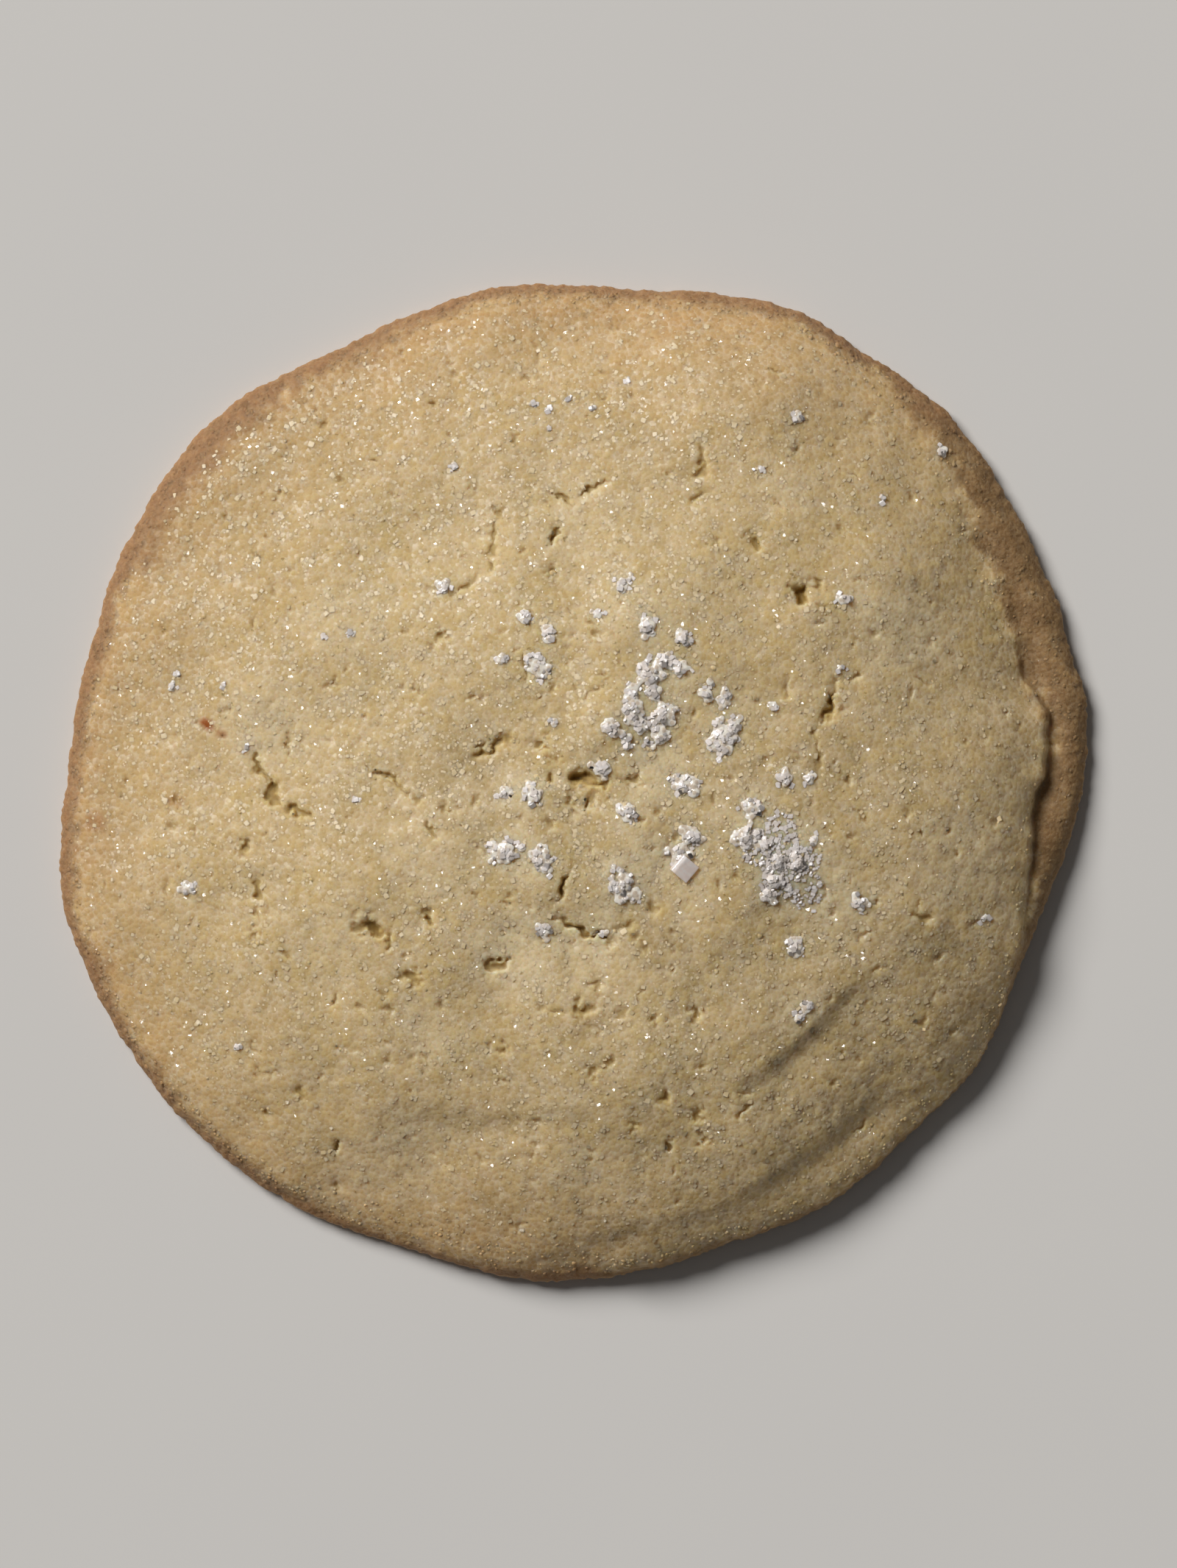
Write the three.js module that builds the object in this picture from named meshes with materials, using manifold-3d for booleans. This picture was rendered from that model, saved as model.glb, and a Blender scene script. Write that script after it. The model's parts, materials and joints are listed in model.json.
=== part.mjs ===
// A round baked sugar cookie, as one solid that rests on its flat underside.
// Millimetres, +Z up. +X and +Y are the right and the far side of the cookie seen from above.
import * as THREE from "three";
import { mergeVertices } from "three/addons/utils/BufferGeometryUtils.js";
import Module from "manifold-3d";

const wasm = await Module();
wasm.setup();

// Driving dimensions
const HEIGHT = 9.8; // top of the dome over the table
const EDGE_POWER = 1.6; // fullness of the rounded outer edge, 2 being a quarter circle
const WAIST = 0.4; // height of the widest line, as a share of the band's height
const BASE_INSET = 0.45; // how far the flat underside stays inside the widest line
const CLIFF_WIDTH = 0.4; // width in plan of the steep drop from the dome to the band
const RINGS = 29; // rings of the upper skin, ring k having 6 k sides
const RIM_CROWDING = 0.3; // how much closer the rings lie near the rim

// Outline radius as [degrees from +X, mm]
const RIM = [
  [0, 39.6], [8, 40.1], [16, 39.9], [30, 40.0], [45, 40.7], [56, 40.2], [66, 40.4], [75, 39.3],
  [85, 38.5], [96, 38.9], [108, 38.6], [120, 38.5], [135, 39.8], [150, 39.6], [165, 39.1],
  [180, 39.7], [193, 40.9], [201, 40.8], [217, 40.4], [232, 39.8], [250, 38.6], [264, 38.9],
  [277, 38.5], [288, 37.9], [300, 38.2], [315, 37.8], [325, 38.2], [340, 37.4], [351, 38.4],
];

// Width of the thin band that the dome leaves uncovered outside it
const BAND_WIDTH = [
  [0, 3.4], [8, 3.2], [15, 3.7], [24, 3.6], [30, 3.3], [37, 2.6], [45, 2.0], [52, 1.0], [60, 0], [75, 0],
  [225, 0], [234, 0.3], [240, 1.0], [250, 1.3], [256, 1.0], [264, 0.8], [271, 0.9], [278, 0], [300, 0],
  [338, 0], [344, 1.3], [348, 2.1], [354, 2.8],
];

// Height of that band, which is the edge's thickness where there is no band
const BAND_HEIGHT = [
  [0, 2.6], [20, 2.6], [45, 2.4], [90, 2.3], [180, 2.2], [225, 2.0], [250, 2.2], [268, 2.2], [285, 2.3],
  [300, 2.3], [318, 2.1], [328, 2.4], [338, 3.1], [345, 3.1], [352, 3.0],
];

// Rounding of the outer edge, as a share of the band's height
const EDGE_ROUND = [
  [0, 0.9], [60, 0.9], [180, 0.9], [240, 0.8], [262, 0.45], [285, 0.2], [330, 0.2], [345, 0.4],
];

// How flat the dome stays before it curves down, and how full its shoulder is
const CROWN_POWER = [
  [0, 4.2], [10, 3.8], [20, 3.9], [35, 3.9], [50, 3.4], [70, 2.7], [90, 1.7], [135, 1.4], [180, 1.5],
  [225, 2.7], [250, 2.4], [270, 3.3], [315, 3.3], [342, 3.8], [350, 4.2],
];
const CROWN_EDGE = [[0, 0.9], [45, 0.9], [90, 0.95], [225, 0.95], [270, 0.8], [315, 0.85], [340, 0.9]];

// Share of the dome's height that drops steeply onto the band
const CLIFF = [
  [0, 0.2], [10, 0.12], [20, 0.03], [35, 0], [45, 0], [330, 0], [338, 0.04], [345, 0.14], [350, 0.2],
];

// Long gentle waves of the skin as [wavelength, heading in degrees, phase in degrees, height]
const WAVES = [
  [23, 20, 40, 0.12], [17, 95, 200, 0.12], [13, 150, 110, 0.1], [10.5, 60, 300, 0.08],
  [8.2, 120, 20, 0.06], [7.1, 5, 250, 0.05],
];
const WAVE_MARGIN = 5; // the waves fade out over this distance from the rim

// Folds: the skin is higher on the left of each path, followed in its order, and drops on its right
const FRONT_FOLD = [[12.0, -23.6], [14.8, -22.2], [16.8, -20.6], [19.0, -18.6], [20.6, -16.6], [23.0, -14.6]];
const LONG_GROOVE = [
  [-6.0, -37.9], [-2.0, -37.3], [1.2, -36.0], [4.2, -34.6], [8.0, -34.2], [11.0, -33.5], [15.5, -30.8],
  [20.0, -27.6], [22.5, -25.4], [26.0, -24.2], [28.6, -23.3], [30.1, -21.0], [30.3, -18.4],
  [31.6, -16.2], [33.5, -13.0],
];
const LEFT_FOLD = [[-15.0, -25.0], [-9.0, -26.0], [-4.0, -26.2], [1.5, -25.6]];
const FAR_FOLD = [[6.8, 27.5], [9.4, 23.0], [13.4, 18.4], [17.6, 13.6]];
const MIDDLE_FOLD = [[-13.0, -10.0], [-4.0, -11.0], [1.0, -11.6], [4.0, -13.2], [10.0, -12.8]];
const FOLDS = [
  { path: FRONT_FOLD, drop: 0.9, width: 0.9, reach: 9 },
  { path: LONG_GROOVE, drop: 0.5, width: 1.0, reach: 15 },
  { path: LEFT_FOLD, drop: 0.5, width: 1.2, reach: 3.5 },
  { path: FAR_FOLD, drop: 0.35, width: 1.5, reach: 4 },
  { path: MIDDLE_FOLD, drop: 0.3, width: 1.2, reach: 4 },
];

// Mounds between the cracks, and one wide sag at the right, as [x, y, radius, height]
const MOUNDS = [
  [5.0, -3.6, 4.2, 0.45], [2.6, -8.6, 3.6, 0.4], [-3.4, -8.2, 3.4, 0.25], [-9.0, 2.0, 4.5, 0.25],
  [1.5, 4.6, 4.2, 0.4], [14.5, -6.0, 4.6, 0.3], [-5.5, 11.5, 4.5, 0.2], [11.0, 30.0, 9.0, 0.7],
  [34.0, 7.0, 15.0, -1.1],
];

// The largest cracks of the crust
const CRACKS = [
  { path: [[-1.9, 1.5], [-1.4, 0.6], [-0.5, 0.4], [0.6, 0.3], [2.3, -0.3]], width: 1.1, depth: 1.3 },
  { path: [[2.2, -0.3], [3.2, 0.2], [4.9, 0.5]], width: 0.6, depth: 0.5 },
  { path: [[1.5, -0.3], [1.1, -1.2], [0.8, -2.1]], width: 0.6, depth: 0.6 },
  { path: [[-9.3, 1.3], [-7.8, 1.9], [-6.4, 2.2], [-5.1, 3.6]], width: 0.6, depth: 0.6 },
  { path: [[-3.8, 3.2], [-3.1, 2.7], [-2.4, 3.0]], width: 0.7, depth: 0.6 },
  { path: [[-0.2, -6.0], [-1.1, -8.5], [-2.3, -10.3], [-3.4, -10.7]], width: 0.6, depth: 0.8 },
  { path: [[-1.8, -10.4], [-1.0, -10.7], [1.9, -11.9], [2.9, -12.6]], width: 0.6, depth: 0.8 },
  { path: [[-15.6, 0.9], [-13.8, 0.3], [-13.0, -0.7], [-12.1, -1.5]], width: 0.6, depth: 0.6 },
  { path: [[-24.9, 2.6], [-23.8, 0.0], [-22.6, -1.9], [-20.0, -2.6]], width: 0.7, depth: 0.8 },
  { path: [[-25.4, -4.4], [-25.6, -5.2], [-25.9, -5.9]], width: 0.8, depth: 0.6 },
  { path: [[-24.1, -7.1], [-24.5, -8.1], [-24.2, -9.3]], width: 0.6, depth: 0.6 },
  { path: [[-6.0, 19.8], [-6.1, 18.2], [-6.6, 16.5], [-8.1, 15.3], [-10.0, 14.1]], width: 0.6, depth: 0.6 },
  { path: [[-2.1, 22.6], [-0.3, 21.4], [1.5, 22.5], [2.2, 23.3]], width: 0.6, depth: 0.6 },
  { path: [[9.9, 25.9], [9.7, 23.8], [9.9, 22.2], [9.1, 21.2]], width: 0.6, depth: 0.5 },
  { path: [[16.4, 15.0], [17.5, 14.8], [19.0, 15.7]], width: 0.7, depth: 0.7 },
  { path: [[17.4, 15.0], [17.6, 13.6]], width: 0.9, depth: 1.0 },
  { path: [[20.0, 8.1], [19.5, 5.4], [19.1, 4.8]], width: 0.6, depth: 0.8 },
  { path: [[-16.8, -11.0], [-15.2, -11.3], [-14.2, -13.1]], width: 0.7, depth: 0.8 },
  { path: [[13.0, 18.9], [13.7, 18.2], [14.3, 17.7]], width: 0.6, depth: 0.6 },
];
const CRACK_LIFT = 1.2; // how far a crack's cutter reaches above the skin
const CRACK_END = 0.25; // share of its width that a crack keeps at its ends

// The largest pits as [x, y, size]
const PITS = [
  [-5.9, 20.7, 0.8], [-1.8, 16.1, 0.8], [-10.3, 11.3, 0.9], [1.5, 11.3, 0.8], [-5.4, 3.3, 0.9],
  [-10.1, -2.0, 0.8], [-12.1, -1.4, 0.8], [5.9, -9.7, 0.8], [2.6, -12.3, 0.8], [-16.4, -11.2, 1.0],
  [-12.7, -15.0, 1.2], [-5.5, -20.5, 0.8], [0.5, -17.5, 1.2], [9.3, -17.8, 1.0], [1.3, -22.2, 0.9],
  [9.3, -25.7, 0.9], [9.9, -27.6, 0.9], [4.5, -26.4, 0.8], [-24.7, -11.8, 0.8], [-25.6, -5.2, 0.8],
  [19.4, 5.1, 0.9], [-21.3, -23.9, 0.8], [5.3, -12.7, 0.75],
];
const PIT_DEPTH = 0.85; // depth of a pit, as a share of its size
const PIT_LIFT = 0.1; // its centre over the skin, as a share of its size

// The largest lumps of fused sugar crystals as [x, y, size]
const LUMPS = [
  [5.6, 8.1, 2.6], [6.9, 9.2, 1.6], [7.9, 8.7, 1.5], [4.4, 5.5, 2.1], [6.7, 5.0, 2.2], [6.3, 3.3, 1.9],
  [2.8, 4.1, 1.5], [11.4, 3.5, 2.7], [8.4, -0.3, 2.1], [2.0, 0.9, 1.6], [-2.9, 8.9, 2.0], [5.5, 11.8, 1.6],
  [-3.2, -1.1, 1.7], [-5.5, -5.4, 2.4], [-2.5, -6.0, 2.0], [3.9, -2.3, 1.7], [3.6, -8.0, 2.6],
  [8.0, -5.6, 1.8], [8.9, -4.2, 1.7], [8.4, -6.6, 2.1], [-2.4, -11.4, 1.4], [11.4, 6.3, 1.4],
  [8.2, 11.0, 1.6], [13.5, -2.0, 1.7], [13.0, -4.2, 2.0], [16.3, -6.0, 4.6], [16.0, 0.3, 1.6],
  [21.9, -9.3, 1.4], [16.9, -12.6, 1.6], [-10.1, 14.9, 1.4], [-29.9, -8.2, 1.2],
];
const CRYSTAL = 0.95; // edge of one crystal in a lump
const CRYSTAL_SHARE = 0.75; // largest edge of a crystal, as a share of its lump's size
const CRYSTALS_PER_AREA = 0.62; // crystals for each square millimetre of a lump's square
const CRYSTAL_LEAN = 0.6; // largest lean of a crystal, in radians
const CRYSTAL_LIFT = [0.05, 0.3]; // its centre over the skin, as a share of its edge

// Smallest and largest share of its named size that a crack, pit or crystal gets
const UNEVEN = [0.75, 1.15];

const CRUMB_COLOUR = 0xcbb27e;
const CRUMB_ROUGHNESS = 0.85;

// Seeded draws, the same on every run
let seed = 20;
function draw(low, high) {
  seed = (seed * 1664525 + 1013904223) % 4294967296;
  return low + ((high - low) * seed) / 4294967296;
}

// Value of a list of [degrees, value] at any angle, on a smooth closed curve through its points
function around(list, degrees) {
  const angle = THREE.MathUtils.euclideanModulo(degrees, 360);
  const last = list.findLastIndex(([at]) => at <= angle);
  const knot = (i) => {
    const [at, value] = list[THREE.MathUtils.euclideanModulo(i, list.length)];
    return [at + 360 * Math.floor(i / list.length), value];
  };
  const [before, start, end, after] = [knot(last - 1), knot(last), knot(last + 1), knot(last + 2)];
  const span = end[0] - start[0];
  const startSlope = ((end[1] - before[1]) / (end[0] - before[0])) * span;
  const endSlope = ((after[1] - start[1]) / (after[0] - start[0])) * span;
  const t = (angle - start[0]) / span;
  const rise = end[1] - start[1];
  const bend = t * (1 - t) * ((startSlope - rise) * (1 - t) - (endSlope - rise) * t);
  return start[1] + rise * t + bend;
}

const rimAt = (degrees) => around(RIM, degrees);

// How far a fold lowers the skin at a point
function foldDrop(x, y, { path, drop, width, reach }) {
  let nearest = Infinity;
  let signed = 0;
  let along = 0;
  for (let i = 0; i + 1 < path.length; i++) {
    const [ax, ay] = path[i];
    const [bx, by] = path[i + 1];
    const [dx, dy] = [bx - ax, by - ay];
    const t = THREE.MathUtils.clamp(((x - ax) * dx + (y - ay) * dy) / (dx * dx + dy * dy), 0, 1);
    const distance = Math.hypot(x - ax - t * dx, y - ay - t * dy);
    if (distance < nearest) {
      nearest = distance;
      signed = Math.sign((x - ax) * dy - (y - ay) * dx) * distance;
      along = (i + t) / (path.length - 1);
    }
  }
  const taper = Math.sqrt(Math.sin(Math.PI * along));
  const below = THREE.MathUtils.smoothstep(signed, -width, width);
  return drop * taper * below * Math.exp(-Math.max(0, signed) / reach);
}

// Height of the upper skin over the table
function skin(x, y) {
  const degrees = THREE.MathUtils.radToDeg(Math.atan2(y, x));
  const radius = Math.hypot(x, y);
  const rim = rimAt(degrees);
  const bandHeight = around(BAND_HEIGHT, degrees);
  const rounding = around(EDGE_ROUND, degrees) * bandHeight;
  const outward = THREE.MathUtils.clamp((radius - rim + rounding) / rounding, 0, 1);
  const fullness = (1 - outward ** EDGE_POWER) ** (1 / EDGE_POWER);
  const edge = bandHeight * (WAIST + (1 - WAIST) * fullness);
  const dome = rim - Math.max(0, around(BAND_WIDTH, degrees));
  const reach = Math.min(1, radius / dome);
  const roundness = (1 - reach ** around(CROWN_POWER, degrees)) ** around(CROWN_EDGE, degrees);
  const cliff = Math.max(0, around(CLIFF, degrees));
  const step = THREE.MathUtils.smoothstep(dome - radius, 0, CLIFF_WIDTH);
  const crown = (HEIGHT - bandHeight) * (cliff * step + (1 - cliff) * roundness);
  const inside = THREE.MathUtils.smoothstep(rim - radius, 0, WAVE_MARGIN);
  let relief = 0;
  for (const [length, heading, phase, height] of WAVES) {
    const turn = THREE.MathUtils.degToRad(heading);
    const travel = (360 * (x * Math.cos(turn) + y * Math.sin(turn))) / length;
    relief += height * Math.sin(THREE.MathUtils.degToRad(travel + phase));
  }
  for (const [mx, my, size, height] of MOUNDS)
    relief += height * Math.exp(-2 * ((x - mx) ** 2 + (y - my) ** 2) / (size * size));
  for (const fold of FOLDS) relief -= foldDrop(x, y, fold);
  return edge + crown + relief * inside;
}

// A closed geometry as a solid that can be joined and cut
function solidOf(geometry) {
  geometry.deleteAttribute("normal");
  geometry.deleteAttribute("uv");
  const merged = mergeVertices(geometry);
  return new wasm.Manifold(
    new wasm.Mesh({
      numProp: 3,
      vertProperties: merged.attributes.position.array,
      triVerts: new Uint32Array(merged.index.array),
    }),
  );
}

// The cookie's body: rings of the upper skin, a rounded edge and a flat underside
function cookieBody() {
  const points = [0, 0, skin(0, 0)];
  const faces = [];
  const firstOf = (ring) => (ring === 0 ? 0 : 1 + 3 * ring * (ring - 1));
  const onRing = (ring, i) => firstOf(ring) + (ring === 0 ? 0 : i % (6 * ring));
  for (let ring = 1; ring <= RINGS; ring++) {
    const even = ring / RINGS;
    const share = even * (1 + RIM_CROWDING * (1 - even));
    for (let i = 0; i < 6 * ring; i++) {
      const degrees = (60 * i) / ring;
      const radius = share * rimAt(degrees);
      const turn = THREE.MathUtils.degToRad(degrees);
      const [x, y] = [radius * Math.cos(turn), radius * Math.sin(turn)];
      points.push(x, y, skin(x, y));
    }
    for (let side = 0; side < 6; side++)
      for (let i = 0; i < ring; i++) {
        const inner = onRing(ring - 1, side * (ring - 1) + i);
        const outer = side * ring + i;
        faces.push(inner, onRing(ring, outer), onRing(ring, outer + 1));
        const nextInner = onRing(ring - 1, side * (ring - 1) + i + 1);
        if (i + 1 < ring) faces.push(inner, onRing(ring, outer + 1), nextInner);
      }
  }
  const sides = 6 * RINGS;
  const waistStart = firstOf(RINGS);
  const baseStart = points.length / 3;
  for (let i = 0; i < sides; i++) {
    const degrees = (360 * i) / sides;
    const radius = rimAt(degrees) - BASE_INSET;
    const turn = THREE.MathUtils.degToRad(degrees);
    points.push(radius * Math.cos(turn), radius * Math.sin(turn), 0);
  }
  const baseCentre = points.length / 3;
  points.push(0, 0, 0);
  for (let i = 0; i < sides; i++) {
    const next = (i + 1) % sides;
    faces.push(waistStart + i, baseStart + i, baseStart + next);
    faces.push(waistStart + i, baseStart + next, waistStart + next);
    faces.push(baseCentre, baseStart + next, baseStart + i);
  }
  const geometry = new THREE.BufferGeometry();
  geometry.setAttribute("position", new THREE.Float32BufferAttribute(points, 3));
  geometry.setIndex(faces);
  return solidOf(geometry);
}

// A wedge along a crack: three sides, its keel below the skin and its flat top above
function crackCutter({ path, width, depth }) {
  const geometry = new THREE.CylinderGeometry(1, 1, 1, 3, path.length - 1);
  geometry.deleteAttribute("normal");
  geometry.deleteAttribute("uv");
  const wedge = mergeVertices(geometry);
  const position = wedge.attributes.position;
  const sizes = path.map(() => draw(...UNEVEN));
  for (let v = 0; v < position.count; v++) {
    const step = Math.round((0.5 - position.getY(v)) * (path.length - 1));
    const [x, y] = path[step];
    const [fromX, fromY] = path[Math.max(0, step - 1)];
    const [toX, toY] = path[Math.min(path.length - 1, step + 1)];
    const length = Math.hypot(toX - fromX, toY - fromY);
    const isEnd = step === 0 || step === path.length - 1;
    const size = sizes[step] * (isEnd ? CRACK_END : 1);
    const flare = (depth + CRACK_LIFT) / depth;
    const side = ((position.getX(v) / Math.sin(Math.PI / 3)) * width * size * flare) / 2;
    const height = position.getZ(v) > 0.5 ? -depth * size : CRACK_LIFT;
    position.setXYZ(
      v,
      x + (side * (toY - fromY)) / length,
      y - (side * (toX - fromX)) / length,
      skin(x, y) + height,
    );
  }
  return solidOf(wedge);
}

// An uneven hollow sunk in the skin
function pitCutter([x, y, size]) {
  const geometry = new THREE.IcosahedronGeometry(0.5, 0);
  geometry.deleteAttribute("normal");
  geometry.deleteAttribute("uv");
  const hollow = mergeVertices(geometry);
  const position = hollow.attributes.position;
  for (let v = 0; v < position.count; v++) {
    const reach = draw(...UNEVEN);
    position.setXYZ(v, position.getX(v) * reach, position.getY(v) * reach, position.getZ(v) * reach);
  }
  hollow.scale(size * draw(...UNEVEN), size * draw(...UNEVEN), 2 * size * PIT_DEPTH);
  hollow.rotateZ(draw(0, Math.PI));
  hollow.translate(x, y, skin(x, y) + PIT_LIFT * size);
  return solidOf(hollow);
}

// One sugar crystal: a small block turned at random
function crystal(x, y, edge) {
  const [long, wide, high] = [0, 1, 2].map(() => edge * draw(...UNEVEN));
  const block = new THREE.BoxGeometry(long, wide, high);
  block.rotateX(draw(-CRYSTAL_LEAN, CRYSTAL_LEAN));
  block.rotateY(draw(-CRYSTAL_LEAN, CRYSTAL_LEAN));
  block.rotateZ(draw(0, Math.PI));
  block.translate(x, y, skin(x, y) + edge * draw(...CRYSTAL_LIFT));
  return solidOf(block);
}

// The places of the crystals of one lump, wound outwards from its middle
function crystalsOf([x, y, size]) {
  const count = Math.max(2, Math.round(CRYSTALS_PER_AREA * size * size));
  const goldenTurn = Math.PI * (3 - Math.sqrt(5));
  const edge = Math.min(CRYSTAL, CRYSTAL_SHARE * size);
  return Array.from({ length: count }, (_, i) => {
    const reach = (size / 2 - edge / 2) * Math.sqrt((i + 0.3) / count);
    const turn = i * goldenTurn + x;
    return crystal(x + reach * Math.cos(turn), y + reach * Math.sin(turn), edge);
  });
}

// The cracks and pits are cut out of the body before the sugar is fused on
let cookie = cookieBody();
for (const crack of CRACKS) cookie = cookie.subtract(crackCutter(crack));
for (const pit of PITS) cookie = cookie.subtract(pitCutter(pit));
for (const lump of LUMPS) for (const block of crystalsOf(lump)) cookie = cookie.add(block);

// Tiny pockets that the crystals close off are filled by keeping the outer body alone
cookie = cookie.decompose().reduce((outer, body) => (body.volume() > outer.volume() ? body : outer));

const made = cookie.getMesh();
const geometry = new THREE.BufferGeometry();
geometry.setAttribute("position", new THREE.BufferAttribute(made.vertProperties, 3));
geometry.setIndex(new THREE.BufferAttribute(made.triVerts, 1));
geometry.computeVertexNormals();
geometry.computeBoundingBox();

const crumb = new THREE.MeshStandardMaterial({ color: CRUMB_COLOUR, roughness: CRUMB_ROUGHNESS });
crumb.flatShading = true;
const mesh = new THREE.Mesh(geometry, crumb);
mesh.name = "cookie";

// The origin is the middle of the cookie's outline, on the table
const middle = geometry.boundingBox.getCenter(new THREE.Vector3());
mesh.position.set(-middle.x, -middle.y, 0);

const group = new THREE.Group();
group.add(mesh);

export default group;
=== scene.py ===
# %% [markdown]
# # A sugar cookie
#
# This lesson bakes one sugar cookie in Blender: a low, cracked dome of pale crumb with a thin
# browned edge, and granulated sugar all over its crust. The cookie's solid comes from a CAD model,
# and what is made here keeps to that solid's size and follows its form.

import json
import math

import bpy
import numpy as np
from mathutils import Matrix, Vector
from mathutils.bvhtree import BVHTree

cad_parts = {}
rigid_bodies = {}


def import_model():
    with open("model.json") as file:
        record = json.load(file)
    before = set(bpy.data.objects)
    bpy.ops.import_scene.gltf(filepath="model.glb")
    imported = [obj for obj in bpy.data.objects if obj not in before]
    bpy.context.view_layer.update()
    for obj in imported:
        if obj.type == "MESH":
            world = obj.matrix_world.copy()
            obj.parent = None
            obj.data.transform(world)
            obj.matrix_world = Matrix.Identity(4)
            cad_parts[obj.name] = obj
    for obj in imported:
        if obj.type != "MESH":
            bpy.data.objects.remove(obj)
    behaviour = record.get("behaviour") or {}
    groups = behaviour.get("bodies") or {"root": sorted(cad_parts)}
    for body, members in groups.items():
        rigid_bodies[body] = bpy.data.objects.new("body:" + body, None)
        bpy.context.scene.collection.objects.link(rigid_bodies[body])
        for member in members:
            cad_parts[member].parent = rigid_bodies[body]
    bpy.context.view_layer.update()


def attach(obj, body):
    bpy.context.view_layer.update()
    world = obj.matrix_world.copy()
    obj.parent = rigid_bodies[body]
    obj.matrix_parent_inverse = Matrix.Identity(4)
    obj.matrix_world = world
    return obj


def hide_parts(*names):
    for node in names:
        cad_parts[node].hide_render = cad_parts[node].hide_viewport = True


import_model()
bpy.ops.object.select_all(action="DESELECT")

MM = 0.001

# %% [markdown]
# ## The outline
#
# A baked cookie is never a true circle. Its rim is a list of radii, one every few degrees, and a
# smooth closed curve runs through them. The same kind of list gives the width and the height of
# the thin band of dough that ran out under the dome on the right and at the front. A list of
# angles is easier to read and to correct than a drawn curve, because each entry is a size that
# can be measured on the cookie.
#
# More lists shape what stands on the rim and the band: how round the outer edge is, how flat the
# top of the dome is (crown power), how steep it ends (crown edge), where it ends in a small cliff,
# and where soft dough fills the crease between the dome and the band. The line of that crease also
# wanders a little, by three waves, each with its number of turns, its phase and its reach.

# %% The rim and the band outside the dome
RIM = [
    (0, 39.6), (8, 40.1), (16, 39.9), (30, 40.0), (45, 40.7), (56, 40.2), (66, 40.4), (75, 39.3),
    (85, 38.5), (96, 38.9), (108, 38.6), (120, 38.5), (135, 39.8), (150, 39.6), (165, 39.1),
    (180, 39.7), (193, 40.9), (201, 40.8), (217, 40.4), (232, 39.8), (250, 38.6), (264, 38.9),
    (277, 38.5), (288, 37.9), (300, 38.2), (315, 37.8), (325, 38.2), (340, 37.4), (351, 38.4),
]
BAND_WIDTH = [
    (0, 3.4), (8, 3.2), (15, 3.7), (24, 3.6), (30, 3.3), (37, 2.6), (45, 2.0), (52, 1.0), (60, 0), (75, 0),
    (225, 0), (234, 0.3), (240, 1.0), (250, 1.3), (256, 1.0), (264, 0.8), (271, 0.9), (278, 0), (300, 0),
    (338, 0), (344, 1.3), (348, 2.1), (354, 2.8),
]
BAND_HEIGHT = [
    (0, 2.6), (20, 2.6), (45, 2.4), (90, 2.3), (180, 2.2), (225, 2.0), (250, 2.2), (268, 2.2), (285, 2.3),
    (300, 2.3), (318, 2.1), (328, 2.4), (338, 3.1), (345, 3.1), (352, 3.0),
]
EDGE_ROUND = [(0, 0.9), (60, 0.9), (180, 0.9), (240, 0.8), (262, 0.45), (285, 0.2), (330, 0.2), (345, 0.4)]
CROWN_POWER = [
    (0, 4.2), (10, 3.8), (20, 3.9), (35, 3.9), (50, 3.4), (70, 2.7), (90, 1.7), (135, 1.4), (180, 1.5),
    (225, 2.7), (250, 2.4), (270, 3.3), (315, 3.3), (342, 3.8), (350, 4.2),
]
CROWN_EDGE = [(0, 0.9), (45, 0.9), (90, 0.95), (225, 0.95), (270, 0.8), (315, 0.85), (340, 0.9)]
CLIFF = [
    (0, 0.18), (6, 0.16), (12, 0.1), (20, 0.01), (28, 0), (330, 0), (338, 0.02), (345, 0.08), (350, 0.13),
]
CREASE = [
    (0, 0.2), (6, 0.25), (14, 0.7), (25, 1.5), (40, 1.4), (52, 0.8), (62, 0), (228, 0), (245, 0.5),
    (270, 0.4), (280, 0), (338, 0), (350, 0.2),
]
WANDER = [(19, 0, 0.35), (43, 50, 0.2), (101, 20, 0.1)]


def around(knots, degrees):
    """The value of a list of (degrees, value) at any angles, on a smooth closed curve."""
    angles, values = np.array(knots, dtype=float).T
    count = len(angles)
    at = np.mod(degrees, 360.0)
    last = np.searchsorted(angles, at, side="right") - 1

    def knot(index):
        turns, place = np.divmod(index, count)
        return angles[place] + 360.0 * turns, values[place]

    (before, low), (start, first), (end, second), (after, high) = (knot(last + i) for i in (-1, 0, 1, 2))
    span, rise = end - start, second - first
    start_slope = (second - low) / (end - before) * span
    end_slope = (high - first) / (after - start) * span
    t = (at - start) / span
    bend = t * (1 - t) * ((start_slope - rise) * (1 - t) - (end_slope - rise) * t)
    return first + rise * t + bend


turn = np.radians(np.arange(0, 360, 0.5))
outline = around(RIM, np.degrees(turn)) * np.array([np.cos(turn), np.sin(turn)])
MIDDLE = (outline.min(axis=1) + outline.max(axis=1)) / 2
print("outline, mm:", np.round(outline.max(axis=1) - outline.min(axis=1), 1), "middle:", np.round(MIDDLE, 2))

# %% [markdown]
# ## The form of the crust
#
# The crust is a height over the table for every place on the cookie. A flattened dome stands on
# the band, long gentle waves and a few mounds make it uneven, and folds lower the skin on one side
# of a line. Writing the form as one function has a great advantage over pulling at a mesh by
# hand: later cells can ask for the height at any place, for a crack, a pore or a grain of sugar.

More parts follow.
